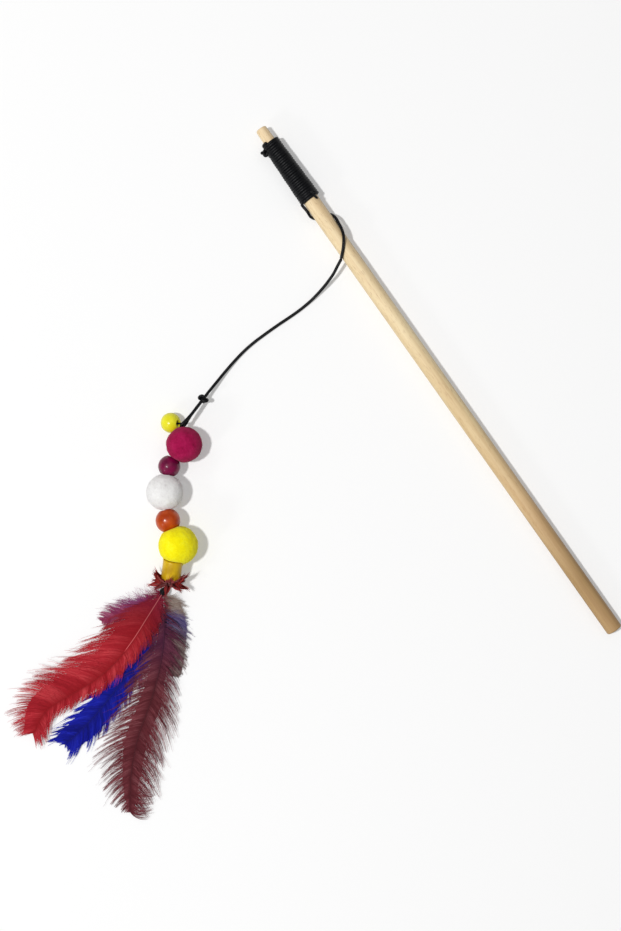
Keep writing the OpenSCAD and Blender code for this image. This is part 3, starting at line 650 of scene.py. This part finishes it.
PINK_AT, PINK_R = centre_of("pink_felt_ball", True, True)
WHITE_AT, WHITE_R = centre_of("white_felt_ball", False, False)
YELLOW_AT, YELLOW_R = centre_of("yellow_felt_ball", True, True)
MAGENTA_AT, ORANGE_AT, SMALL_AT, TUBE_AT, TIE_AT = (joint_at(name) for name in (
    "magenta_spin", "orange_spin", "small_bead_spin", "tube_bead_spin", "feather_swing"))
magenta_axis, orange_axis, tube_axis = (joint_axis(name) for name in (
    "magenta_spin", "orange_spin", "tube_bead_spin"))
MAGENTA_R, ORANGE_R, SMALL_R = 5.4, 6.0, 4.9
TUBE_R, TUBE_LENGTH, TUBE_BORE_R, TUBE_RIM = 4.8, 10.0, 1.6, 0.7
TUBE_END = TUBE_AT + TUBE_LENGTH * tube_axis
# How far from a bead's centre a length of the string ends, and how it bends at the neck
STRING_STOP = 0.8
NECK_BEND = 1.2


def string_piece(name, route, body, node):
    black_tube(name, curve(route, 5), STRING_D / 2, 12, body, node)


string_piece("string_top", [
    SMALL_AT + 1.3 * small_axis, SMALL_AT, step_to(NECK, SMALL_AT, NECK_BEND), NECK,
    step_to(NECK, PINK_AT, NECK_BEND), PINK_AT, step_to(MAGENTA_AT, PINK_AT, STRING_STOP)],
    "lure_top", "bead_string_top")
string_piece("string_middle", [
    step_to(MAGENTA_AT, WHITE_AT, STRING_STOP), WHITE_AT,
    step_to(ORANGE_AT, WHITE_AT, STRING_STOP)], "lure_middle", "bead_string_middle")
string_piece("string_bottom", [
    *(step_to(ORANGE_AT, YELLOW_AT, distance) for distance in (STRING_STOP, 4, 8)),
    YELLOW_AT, TUBE_AT, TUBE_END, step_to(TIE_AT, TUBE_END, 2.2)], "lure_bottom",
    "bead_string_bottom")
STOPPER_SEAT = 2.48
knot_piece("stopper", SMALL_AT + STOPPER_SEAT * small_axis, small_axis, ring_r=0.66,
           cord_r=0.4, body="lure_top", node="stopper_knot")


# Beads and balls

def revolved(name, profile, at, axis, material, body, node, wobble):
    """A turned form: profile is a closed loop of (radius, height) along the axis.

    wobble is how far its surface strays from round.
    """
    axis = axis.normalized()
    side = axis.orthogonal().normalized()
    other = axis.cross(side)
    form = Form()
    count = len(profile)
    segments = 72
    for s in range(segments):
        out = turned(side, other, 2 * pi * s / segments)
        for r, h in profile:
            point = at + r * out + h * axis
            stray = noise.noise(point * 0.45) + 0.4 * noise.noise(point * 1.3)
            form.add(point + out * wobble * stray)
    for s in range(segments):
        this, after = s * count, (s + 1) % segments * count
        for k in range(count):
            up = (k + 1) % count
            form.faces.append((this + k, this + up, after + up, after + k))
    form.build(name, material, body, node)


def bead_profile(radius, mouth, bore, flare=None):
    """Round outside, rounded at both mouths, bored through; flare is the far mouth's."""
    half = sqrt(radius ** 2 - mouth ** 2)
    steps = 36
    low = asin(half / radius)
    sweep = [-low + 2 * low * i / steps for i in range(steps + 1)]
    outer = [(radius * cos(a), radius * sin(a)) for a in sweep]
    lip = [(mouth - 0.15, half + 0.05), (mouth - 0.4, half), (bore + 0.3, half - 0.25),
           (bore, half - 0.8)]
    inner = [(bore, half * k / 4) for k in (2, 0, -2)]
    far = [(flare + 0.2, half), (flare - 0.1, half - 0.2), (bore, half * 0.2)] if flare else lip
    return outer + far + inner + [(r, -h) for r, h in reversed(lip)]


revolved("bead_small", bead_profile(SMALL_R, mouth=2.1, bore=0.9, flare=1.6), SMALL_AT,
         small_axis, LEMON, "small_bead", "small_yellow_bead", wobble=0.1)
revolved("bead_magenta", bead_profile(MAGENTA_R, mouth=2.75, bore=1.9), MAGENTA_AT,
         magenta_axis, MAGENTA, "magenta", "magenta_bead", wobble=0.08)
revolved("bead_orange", bead_profile(ORANGE_R, mouth=2.8, bore=2.05), ORANGE_AT,
         orange_axis, ORANGE, "orange", "orange_bead", wobble=0.08)

tube_profile = []
for cx, cy, first_angle in (
        (TUBE_BORE_R + TUBE_RIM, TUBE_RIM, 180), (TUBE_R - TUBE_RIM, TUBE_RIM, 270),
        (TUBE_R - TUBE_RIM, TUBE_LENGTH - TUBE_RIM, 0),
        (TUBE_BORE_R + TUBE_RIM, TUBE_LENGTH - TUBE_RIM, 90)):
    for k in range(6):
        a = radians(first_angle + 18 * k)
        tube_profile.append((cx + TUBE_RIM * cos(a), cy + TUBE_RIM * sin(a)))
revolved("bead_tube", tube_profile, TUBE_AT, tube_axis, GOLDEN, "tube_bead",
         "yellow_tube_bead", wobble=0.12)


def sphere_form(level):
    """A finely divided icosahedron's points and faces, on the unit sphere."""
    mesh = bmesh.new()
    bmesh.ops.create_icosphere(mesh, subdivisions=level, radius=1)
    points = [v.co.copy() for v in mesh.verts]
    faces = [tuple(v.index for v in f.verts) for f in mesh.faces]
    mesh.free()
    return points, faces


SPHERE = sphere_form(level=6)


# How far the wool's mean surface lies inside the ball, and its lowest off the table
FELT_SINK = 0.2
FELT_FLOOR = 0.05
FIBRE_HALF = 0.035
# A fibre that a neighbour would push further than this isn't drawn
TOUCH = 0.01


def felt_ball(name, centre, radius, presses, material, body, node, seed, fibres):
    """A felt ball: lumpy, pitted, pressed in by what touches it, with stray fibres.

    presses are functions that move a point out of a neighbour.
    """
    rng = random.Random(seed)
    shift = Vector((seed * 3.1, seed * 1.7, seed * 2.3))
    form = Form()

    def pressed(point):
        for press in presses:
            point = press(point)
        return point

    def uneven(direction, fine):
        return noise.noise(direction * fine + shift)

    def surface(direction):
        lump = 0.22 * uneven(direction, 2.2) + 0.1 * uneven(direction, 6)
        pit = 0.07 * uneven(direction, 16) + 0.035 * uneven(direction, 40)
        return centre + direction * (radius - FELT_SINK + lump + pit)

    points, faces = SPHERE
    for direction in points:
        point = surface(direction)
        point.z = max(point.z, FELT_FLOOR)
        form.add(pressed(point))
    form.faces.extend(faces)
    for _ in range(fibres):
        direction = Vector((rng.gauss(0, 1), rng.gauss(0, 1), rng.gauss(0, 1) + 0.3)).normalized()
        start = surface(direction)
        if (pressed(start) - start).length > TOUCH or start.z < 0.6:
            continue
        run = direction.orthogonal().normalized()
        run.rotate(Matrix.Rotation(rng.uniform(0, 2 * pi), 3, direction))
        reach = rng.uniform(0.7, 1.9)
        rise = rng.uniform(0.1, 0.4)
        path = []
        for k in range(5):
            u = k / 4
            path.append(start + run * reach * u + direction * (rise * sin(2.4 * u) - 0.05)
                        + direction.cross(run) * 0.3 * u * u * rng.uniform(-1, 1))
        if min(p.z for p in path) > 0.2 and all((pressed(p) - p).length < TOUCH for p in path):
            form.ribbon(path, FIBRE_HALF, rng.uniform(-1, 1), rng.random())
    form.build(name, material, body, node)


# How far the felt stays clear of beads, of the tube bead and of the noose
BEAD_CLEAR = 0.2
POCKET_CLEAR = 0.3
NOOSE_CLEAR = 0.25
# How deep the tube bead sits under the yellow ball's upper side
POCKET_DEPTH = 3


def clear_of(at, r):
    """A function that moves a point out of a round piece."""
    def press(point):
        away = point - at
        return at + away.normalized() * r if away.length < r else point
    return press


def tube_press(point):
    """Moves a point of the yellow ball out of the tube bead's pocket."""
    rel = point - (TUBE_AT - POCKET_CLEAR * tube_axis)
    along = rel.dot(tube_axis)
    radial = rel - along * tube_axis
    if along <= 0 or radial.length >= TUBE_R + POCKET_CLEAR:
        return point
    if point.z > TUBE_AT.z and along < POCKET_DEPTH:
        return point - tube_axis * along
    out = radial.normalized() * (TUBE_R + POCKET_CLEAR - radial.length)
    return point - tube_axis * along if along < out.length else point + out


def noose_press(point):
    """Moves a point of the pink ball clear of the noose."""
    nearest = min(noose_path, key=lambda p: (p - point).length)
    return clear_of(nearest, CORD_D / 2 + NOOSE_CLEAR)(point)


small_press, magenta_press, orange_press = (
    clear_of(at, r + BEAD_CLEAR)
    for at, r in ((SMALL_AT, SMALL_R), (MAGENTA_AT, MAGENTA_R), (ORANGE_AT, ORANGE_R)))
felt_ball("felt_pink", PINK_AT, PINK_R, [magenta_press, small_press, noose_press], PINK,
          "lure_top", "pink_felt_ball", seed=1, fibres=500)
felt_ball("felt_white", WHITE_AT, WHITE_R, [magenta_press, orange_press], WHITE,
          "lure_middle", "white_felt_ball", seed=2, fibres=900)
felt_ball("felt_yellow", YELLOW_AT, YELLOW_R, [orange_press, tube_press], YELLOW,
          "lure_bottom", "yellow_felt_ball", seed=3, fibres=600)


# Feathers

# How high a feather lies, in shares of the tie's height, against its distance from the
# tie: three that lie on each other, and the two at the sides
FALL_REACH = 100
STACK = 0.226
TOP_FALL = [(0.013, 1 + STACK), (0.06, 1.2), (0.12, 1.1), (0.2, 0.95), (0.3, 0.78),
            (0.6, 0.6), (1.2, 0.52)]
MIDDLE_FALL = [(0.013, 1), (0.06, 0.98), (0.12, 0.9), (0.2, 0.75), (0.3, 0.59),
               (0.6, 0.41), (1.2, 0.33)]
LOW_FALL = [(0.013, 1 - STACK), (0.06, 0.77), (0.12, 0.7), (0.2, 0.56), (0.3, 0.4),
            (0.6, 0.21), (1.2, 0.14)]
SIDE_FALL = [(0.017, 1), (0.03, 0.88), (0.06, 0.58), (0.12, 0.33), (0.2, 0.22), (0.3, 0.15),
             (0.6, 0.11)]
QUILL_APART = STACK * TIE_AT.z
tie_ahead = heading(-66.6)
tie_across = left_of(tie_ahead)
BARB_STEPS = 7
# A vane narrower than this carries no barbs
NARROWEST = 0.35
# How far the close web sags and arches, how high the barbs arch, and how much lower
# their second layer lies
WEB_SAG = 0.22
WEB_ARCH = 0.2
BARB_ARCH = 0.22
LAYER_DROP = 0.12
CURL_BARBS = 16
QUILL_R = 0.28


def resting(point, fall, up):
    """A point of a feather's plan, at the height where it lies."""
    far = hypot(point.x - TIE_AT.x, point.y - TIE_AT.y)
    return Vector((point.x, point.y, TIE_AT.z * lookup(far / FALL_REACH, fall) + up))


class Shaft:
    """A feather's shaft seen from above, and places along it.

    offset is its place beside the middle quill, and sway how far it strays from a
    straight line, in shares of its length.
    """

    def __init__(self, aim, length, offset, sway):
        ahead = heading(aim)
        beside = left_of(ahead)
        base = Vector((TIE_AT.x, TIE_AT.y, 0))
        root = base + offset * QUILL_APART * tie_across
        route = [root - 0.7 * tie_ahead, root + 1.4 * tie_ahead]
        route += [base + length * ((k + 1) / len(sway) * ahead + s * beside)
                  for k, s in enumerate(sway)]
        self.points = curve(route, 12)
        self.reach = [0.0]
        for a, b in zip(self.points, self.points[1:]):
            self.reach.append(self.reach[-1] + (b - a).length)
        self.length = self.reach[-1]

    def at(self, share):
        """The place and the direction at a share of the shaft's length."""
        want = max(0.0, min(1.0, share)) * self.length
        i = min(max(1, bisect_left(self.reach, want)), len(self.reach) - 1)
        t = (want - self.reach[i - 1]) / max(1e-9, self.reach[i] - self.reach[i - 1])
        a, b = self.points[i - 1], self.points[i]
        return a.lerp(b, t), (b - a).normalized()

    def barb(self, share, side, width, angle, bend):
        """A barb in plan: it leaves the shaft at an angle and turns towards the tip."""
        here, tangent = self.at(share)
        normal = left_of(tangent) * side
        path = [here.copy()]
        angles = [radians(angle - bend * (k + 0.5) / BARB_STEPS) for k in range(BARB_STEPS)]
        rise = sum(sin(a) for a in angles) / BARB_STEPS
        run = width / max(0.3, rise)
        for a in angles:
            here = here + turned(tangent, normal, a) * run / BARB_STEPS
            path.append(here.copy())
        return path


def feather(name, aim, length, half, offset, fall, sway, plus, minus, look, node,
            seed, angles, bend, lock, split, pull, per_mm, fine, wisps, web, short=0.3,
            shortest=0.35, pale_quill=0, sparse=None, down=(0, 0), curls=()):
    """A shaft with a close web and two layers of locks of fine barbs on both sides.

    half is the vane's half width; plus and minus are the widths of its sides, in shares
    of half. angles are the barbs' angles to the shaft at its root and tip, bend how far
    they turn. lock is a lock's length on the shaft, split how much locks differ, pull
    how far their barbs close up. per_mm counts barbs, fine is half a barb's width,
    wisps the share that strays, short the share cut short, down to shortest. web is the
    close part's share of the width, pale_quill the pale share of the shaft, sparse the
    share of barbs on the plus side. down counts loose wisps near the root on each side,
    and curls are locks that curl back: (share, side, width, angle, turn).
    """
    rng = random.Random(seed)
    vary = rng.uniform
    shaft = Shaft(aim, length, offset, sway)
    form = Form()

    def angle_at(share):
        return lookup(share, [(0, angles[0]), (1, angles[1])])

    def laid(path, rise):
        """A plan's path at rest, raised by rise, a function of the share of the way."""
        return [resting(q, fall, rise(k / BARB_STEPS)) for k, q in enumerate(path)]

    def arched(lift, arch):
        return lambda u: lift * min(1, 3 * u) + arch * sin(2.8 * u)

    def close_web(side, widths):
        rows, shades, far = [], [], []
        steps = int(shaft.length / 0.5)
        for i in range(steps + 1):
            share = i / steps
            own = lookup(share, widths) * half
            thin = side > 0 and sparse and lookup(share, sparse) < 0.9
            if thin or own < NARROWEST or share > 0.97:
                continue
            ragged = 0.9 + 0.1 * noise.noise(Vector((share * 60, seed, side)))
            path = shaft.barb(share, side, own * web * ragged, angle_at(share), bend)
            rows.append(laid(path, arched(-WEB_SAG, WEB_ARCH)))
            shades.append([0.32 + 0.3 * noise.noise(Vector((share * 140, k * 0.5, side)))
                           for k in range(len(path))])
            far.append(share)
        if len(rows) > 1:
            form.web(rows, shades, far)

    def lock_of_barbs(side, widths, layer, start, span):
        reach = 1 + split * vary(-0.8, 0.4) - 0.05 * layer
        lean = split * vary(-18, 18)
        tone = vary(0.1, 0.75)
        height = vary(-0.12, 0.12)
        middle = start + span / 2
        root_angle = angle_at(middle) + lean
        whole = lookup(middle, widths) * half
        lead = shaft.barb(middle, side, max(0.3, whole * reach), root_angle, bend)
        count = max(2, int(span * shaft.length * per_mm / 2))
        for i in range(count):
            share = start + span * (i + vary(0.1, 0.9)) / count
            own = lookup(share, widths) * half
            thinned = side > 0 and sparse and rng.random() > lookup(share, sparse)
            if own < NARROWEST or share > 0.995 or thinned:
                continue
            stray = rng.random() < wisps
            long = vary(1.0, 1.2) if stray else vary(0.84, 1.02)
            if rng.random() < short:
                long *= vary(shortest, 0.85)
            turn = vary(-10, 16) if stray else vary(-3, 3)
            path = shaft.barb(share, side, own * reach * long, root_angle + turn, bend)
            hold = 0.0 if stray or long < 0.8 else pull * vary(0.6, 1.0)
            shade = min(0.9, max(0.0, tone + vary(-0.2, 0.2)))
            lift = height + vary(-0.1, 0.1) - LAYER_DROP * layer
            path = [q.lerp(lead[k], hold * (k / BARB_STEPS) ** 1.4) for k, q in enumerate(path)]
            form.ribbon(laid(path, arched(lift, BARB_ARCH)), fine * vary(0.7, 1.3),
                        vary(-0.5, 0.5), shade, share)

    sides = ((1, plus), (-1, minus))
    for side, widths in sides:
        close_web(side, widths)
    for layer in range(2):
        for side, widths in sides:
            start = vary(0, 0.5) * lock / shaft.length
            while start < 1:
                span = lock * vary(0.5, 1.5) / shaft.length
                lock_of_barbs(side, widths, layer, start, span)
                start += span
    for side, wisp_count in zip((1, -1), down):
        for _ in range(wisp_count):
            share = vary(1.5, 20) / shaft.length
            path = shaft.barb(share, side, vary(2.5, 8.5), vary(62, 100), vary(-30, 40))
            lift = vary(0.1, 0.5)
            form.ribbon(laid(path, lambda u: lift * u), fine * vary(0.6, 1.0),
                        vary(-0.5, 0.5), vary(0.3, 0.9), share)
    for share, side, width, angle, turn in curls:
        for _ in range(CURL_BARBS):
            path = shaft.barb(share + vary(-0.012, 0.012), side,
                              width * vary(0.75, 1.05), angle + vary(-5, 5),
                              -turn + vary(-8, 8))
            form.ribbon(laid(path, lambda u: 0.2), fine * 1.4, vary(-0.4, 0.4),
                        vary(0.1, 0.7), share)
    first = len(form.points)
    form.tube([resting(shaft.at(k / 40)[0], fall, 0.1) for k in range(41)],
              lambda s: QUILL_R * (1 - 0.75 * s), 8)
    for k in range(first, len(form.points)):
        pale = form.along[k] < pale_quill
        form.shade[k] = 1.0 if pale else 0.15
        form.far[k] = form.along[k]
        form.along[k] = 1.0 if pale else 0.0
    form.build(name, look, "feathers", node)


feather("feather_red", -77.8, 95, 19, 0, TOP_FALL,
        [0.026, 0.051, 0.063, 0.048, 0.008, -0.03, 0],
        [(0.04, 0), (0.07, 0.3), (0.12, 0.45), (0.3, 0.42), (0.5, 0.36), (0.75, 0.32), (0.9, 0.4),
         (1, 0.25)],
        [(0.04, 0), (0.07, 0.4), (0.14, 0.8), (0.25, 1), (0.55, 1), (0.7, 0.95), (0.85, 0.75),
         (1, 0.3)],
        RED_LOOK, "red_feather", 11, angles=(75, 70), bend=44, lock=2.0,
        split=0.25, pull=0.6, per_mm=20, fine=0.12, wisps=0.14, short=0.6, shortest=0.5, web=0.62,
        pale_quill=0.36, down=(110, 150),
        curls=[(0.945, 1, 8, 60, -10), (0.97, 1, 7, 54, -8), (0.985, 1, 5, 48, -6),
               (0.96, -1, 5.5, 52, -18)])
feather("feather_maroon", -44.1, 110, 18, 0, MIDDLE_FALL,
        [0.029, 0.035, 0.016, -0.015, -0.019, 0],
        [(0.05, 0), (0.08, 0.4), (0.12, 0.6), (0.2, 0.68), (0.29, 0.55), (0.38, 0.65), (0.47, 0.9),
         (0.77, 0.85), (0.85, 0.65), (0.93, 0.5), (1, 0.1)],
        [(0.06, 0), (0.1, 0.2), (0.3, 0.75), (0.5, 0.95), (0.65, 1), (0.8, 0.75), (0.92, 0.4),
         (1, 0.04)],
        MAROON_LOOK, "maroon_feather", 12, angles=(74, 66), bend=36,
        lock=1.5, split=0.4, pull=0.9, per_mm=17, fine=0.1, wisps=0.08, short=0.64, shortest=0.25,
        web=0.36, sparse=[(0, 0.15), (0.16, 0.2), (0.24, 1)], down=(12, 130),
        curls=[(0.89, 1, 12, 42, 70), (0.925, 1, 11, 38, 80), (0.955, 1, 11.5, 30, 85),
               (0.98, 1, 10, 24, 95)])
feather("feather_blue", -68.2, 90, 9.5, 0, LOW_FALL, [0.038, 0.077, 0.076, 0.065, 0.042, 0],
        [(0.06, 0), (0.12, 0.3), (0.3, 0.8), (0.6, 0.95), (0.8, 0.9), (0.93, 0.7), (1, 0.1)],
        [(0.06, 0), (0.12, 0.3), (0.3, 0.8), (0.6, 0.95), (0.8, 1), (0.95, 0.8), (1, 0.1)],
        BLUE_LOOK, "blue_feather", 13, angles=(66, 60), bend=40, lock=2.2,
        split=0.4, pull=0.8, per_mm=18, fine=0.12, wisps=0.07, web=0.8)
feather("feather_brown", -29, 42, 11, 1, SIDE_FALL, [0.005, 0.009, 0.012, 0.011, 0.006, 0],
        [(0.03, 0), (0.07, 0.5), (0.12, 0.8), (0.22, 0.95), (0.35, 1), (0.55, 0.8), (0.75, 0.6),
         (0.9, 0.4), (1, 0.08)],
        [(0.16, 0), (0.28, 0.4), (0.45, 0.6), (0.6, 0.6), (0.8, 0.5), (1, 0.06)],
        BROWN_LOOK, "brown_feather", 14, angles=(92, 56), bend=36, lock=1.6,
        split=0.35, pull=0.7, per_mm=22, fine=0.11, wisps=0.12, short=0.4, web=0.88,
        down=(300, 60))
feather("feather_short_blue", -99.5, 34, 7, -1, SIDE_FALL, [0.005, 0.01, 0.012, 0.008, 0.004, 0],
        [(0.16, 0), (0.28, 0.4), (0.45, 0.9), (0.65, 1), (0.85, 0.8), (1, 0.1)],
        [(0.12, 0), (0.22, 0.5), (0.45, 0.85), (0.65, 0.9), (0.85, 0.8), (1, 0.1)],
        FRINGE_LOOK, "short_blue_feather", 15, angles=(68, 56), bend=30,
        lock=1.4, split=0.5, pull=0.6, per_mm=18, fine=0.09, wisps=0.25, short=0.5, web=0.42,
        down=(40, 110))

# The tie: turns of thread round the quills, and what they are wound on
THREAD_R = 0.16
THREAD_PITCH = 0.17
THREAD_STEPS = 24
TIE_TURNS = 13
TIE_CORE_R = 1.45
thread = []
for i in range(TIE_TURNS * THREAD_STEPS + 1):
    t = i / THREAD_STEPS
    r = 1.55 + 0.25 * sin(pi * t / TIE_TURNS) + 0.05 * sin(3.7 * t)
    thread.append(TIE_AT + THREAD_PITCH * (t - TIE_TURNS / 2) * tie_ahead
                  + r * turned(tie_across, UP, 2 * pi * t))
form = Form()
form.tube(thread, THREAD_R, 8)
form.tube([TIE_AT + s * tie_ahead for s in (-1.0, -0.5, 0.5, 1.0)], TIE_CORE_R, 20)
form.build("tie_thread", BLACK, "feathers", "feather_tie")

# The tuft: short stiff hackles round the string, each a small pointed fan of barbs
tie_aim = (TIE_AT - TUBE_END).normalized()
HUB_AT = TUBE_END + 2.2 * tie_aim
HUB_R = 0.9
HACKLES = 16
TUFT_REACH = 11.0
# How high the tips that point down stay above the table
TUFT_FLOOR = 0.6
# Lean towards the feathers, share of the reach and turn of every eight hackles
HACKLE_FORMS = [(16, 1, 0), (-6, 0.72, 0.3), (8, 0.9, -0.2), (-12, 0.8, 0.15),
                (12, 0.96, -0.3), (-8, 0.66, 0.2), (4, 0.88, -0.1), (-10, 0.78, 0.25)]
tuft_u = (UP - tube_axis * tube_axis.z).normalized()
tuft_v = tube_axis.cross(tuft_u)
rng = random.Random(21)
form = Form()


def flame(share):
    """Half the width of a hackle's close part along its length."""
    return 1.5 * sin(pi * (0.2 + 0.79 * share)) ** 0.9 + 0.02


def hackle(flat, out, curl, reach, barbs, tone):
    """A pointed hackle: crossed close blades, and barbs whose tips stand past them.

    It leaves the hub at flat, points to out and bends towards curl.
    """
    base = HUB_AT + HUB_R * flat
    spreads = (tube_axis.cross(flat), tube_axis)

    def at(u):
        return base + out * reach * u + curl * u * u

    for wide in spreads:
        blade = [at(k / 8 * 0.94) for k in range(9)]
        form.strip(blade, wide, flame, 0.6 * tone + 0.2, (0.1, 1.3))
    for _ in range(barbs):
        wide = rng.choice(spreads)
        start = rng.uniform(0.05, 0.75)
        end = min(1.05, start + rng.uniform(0.25, 0.45))
        splay = rng.choice((-1, 1)) * rng.uniform(0.8, 2.2)
        path = []
        for j in range(6):
            u = j / 5
            path.append(at(start + (end - start) * u) + splay * u ** 1.3 * (1.15 - start) * wide)
        if min(p.z for p in path) > 0.25:
            shade = min(0.9, max(0.0, tone + rng.uniform(-0.25, 0.25)))
            half = 0.17 * rng.uniform(0.7, 1.3)
            form.strip(path, wide, lambda share: half * (1 - 0.7 * share), shade,
                       (1.2 * start, 1.2 * end))


for k in range(HACKLES):
    lean, share, aside = HACKLE_FORMS[k % 8]
    flat = turned(tuft_u, tuft_v, 2 * pi * (k + aside) / HACKLES)
    out = turned(flat, tube_axis, radians(lean))
    reach = TUFT_REACH * share
    if out.z < 0:
        reach = min(reach, (HUB_AT.z - TUFT_FLOOR) / -out.z)
    hackle(flat, out, curl=0.6 * tube_axis, reach=reach - HUB_R, barbs=46,
           tone=rng.uniform(0.1, 0.7))

# Hackles of the same tuft that turn back over the tube bead's end
BACK_HACKLES = 16
for k in range(BACK_HACKLES):
    a = radians(-118 + 236 * (k + rng.uniform(-0.3, 0.3)) / (BACK_HACKLES - 1))
    flat = turned(tuft_u, tuft_v, a)
    turn_back = rng.uniform(3.4, 6.4)
    reach = 5.3 + 0.4 * turn_back + rng.uniform(0, 0.8)
    hackle(flat, flat, curl=-turn_back * tube_axis, reach=reach, barbs=34,
           tone=rng.uniform(0.05, 0.6))
form.tube([HUB_AT + s * tie_aim for s in (-0.7, -0.3, 0.3, 0.7, 1.4)],
          lambda s: 2.1 - 0.7 * s, 20)
form.build("tuft_hackles", TUFT_LOOK, "lure_bottom", "feather_tuft",
           smooth=False)


# Floor and lights

FLOOR_TONE = 0.72
FLOOR_GLOW = 0.26
FLOOR_HALF = 3.0
FLOOR_Z = -0.0001
WORLD_GLOW = 0.24


def seen(look):
    """1 for rays from the camera and for those that metal and glass send on."""
    rays = look.node("LightPath").outputs
    one = look.math("MAXIMUM", rays["Is Camera Ray"], rays["Is Glossy Ray"])
    return look.math("MAXIMUM", one, rays["Is Transmission Ray"])


floor_look = Look("floor", 0.9, specular=0.0)
floor_look.set("Base Color", (FLOOR_TONE, FLOOR_TONE, FLOOR_TONE, 1))
glow = floor_look.node("Emission", {"Color": (1, 1, 1, 1), "Strength": FLOOR_GLOW})
unlit = floor_look.node("Emission", {"Color": (0, 0, 0, 1), "Strength": 0})
chosen = floor_look.node("MixShader", {0: seen(floor_look), 1: unlit.outputs[0],
                                       2: glow.outputs[0]})
both = floor_look.node("AddShader", {0: floor_look.shader.outputs[0], 1: chosen.outputs[0]})
floor_look.link(both.outputs[0], floor_look.nodes["Material Output"].inputs["Surface"])

mesh = bpy.data.meshes.new("floor")
mesh.from_pydata([(x * FLOOR_HALF, y * FLOOR_HALF, FLOOR_Z)
                  for x, y in ((-1, -1), (1, -1), (1, 1), (-1, 1))], [], [(0, 1, 2, 3)])
mesh.materials.append(floor_look.material)
linked("floor", mesh)

world = bpy.data.worlds.new("world")
world.use_nodes = True
background = world.node_tree.nodes["Background"].inputs
background["Color"].default_value = (1, 1, 1, 1)
background["Strength"].default_value = WORLD_GLOW
bpy.context.scene.world = world


def lamp(name, right, up, rise, size, power):
    """An area lamp placed by the image's right and up and by its height, in metres."""
    data = bpy.data.lights.new(name, "AREA")
    data.shape = "DISK"
    data.size = size
    data.energy = power
    at = VIEW_CENTRE + IMAGE_RIGHT * right + IMAGE_UP * up + rise * UP
    aim = (at - VIEW_CENTRE).to_track_quat("Z", "Y")
    linked(name, data).matrix_world = Matrix.Translation(at) @ aim.to_matrix().to_4x4()


lamp("key", right=-0.96, up=-0.08, rise=2.4, size=0.19, power=48)
lamp("fill", right=0.5, up=0.6, rise=1.7, size=1.2, power=1.6)
lamp("spark", right=-1.1, up=-0.9, rise=0.8, size=0.25, power=2.2)
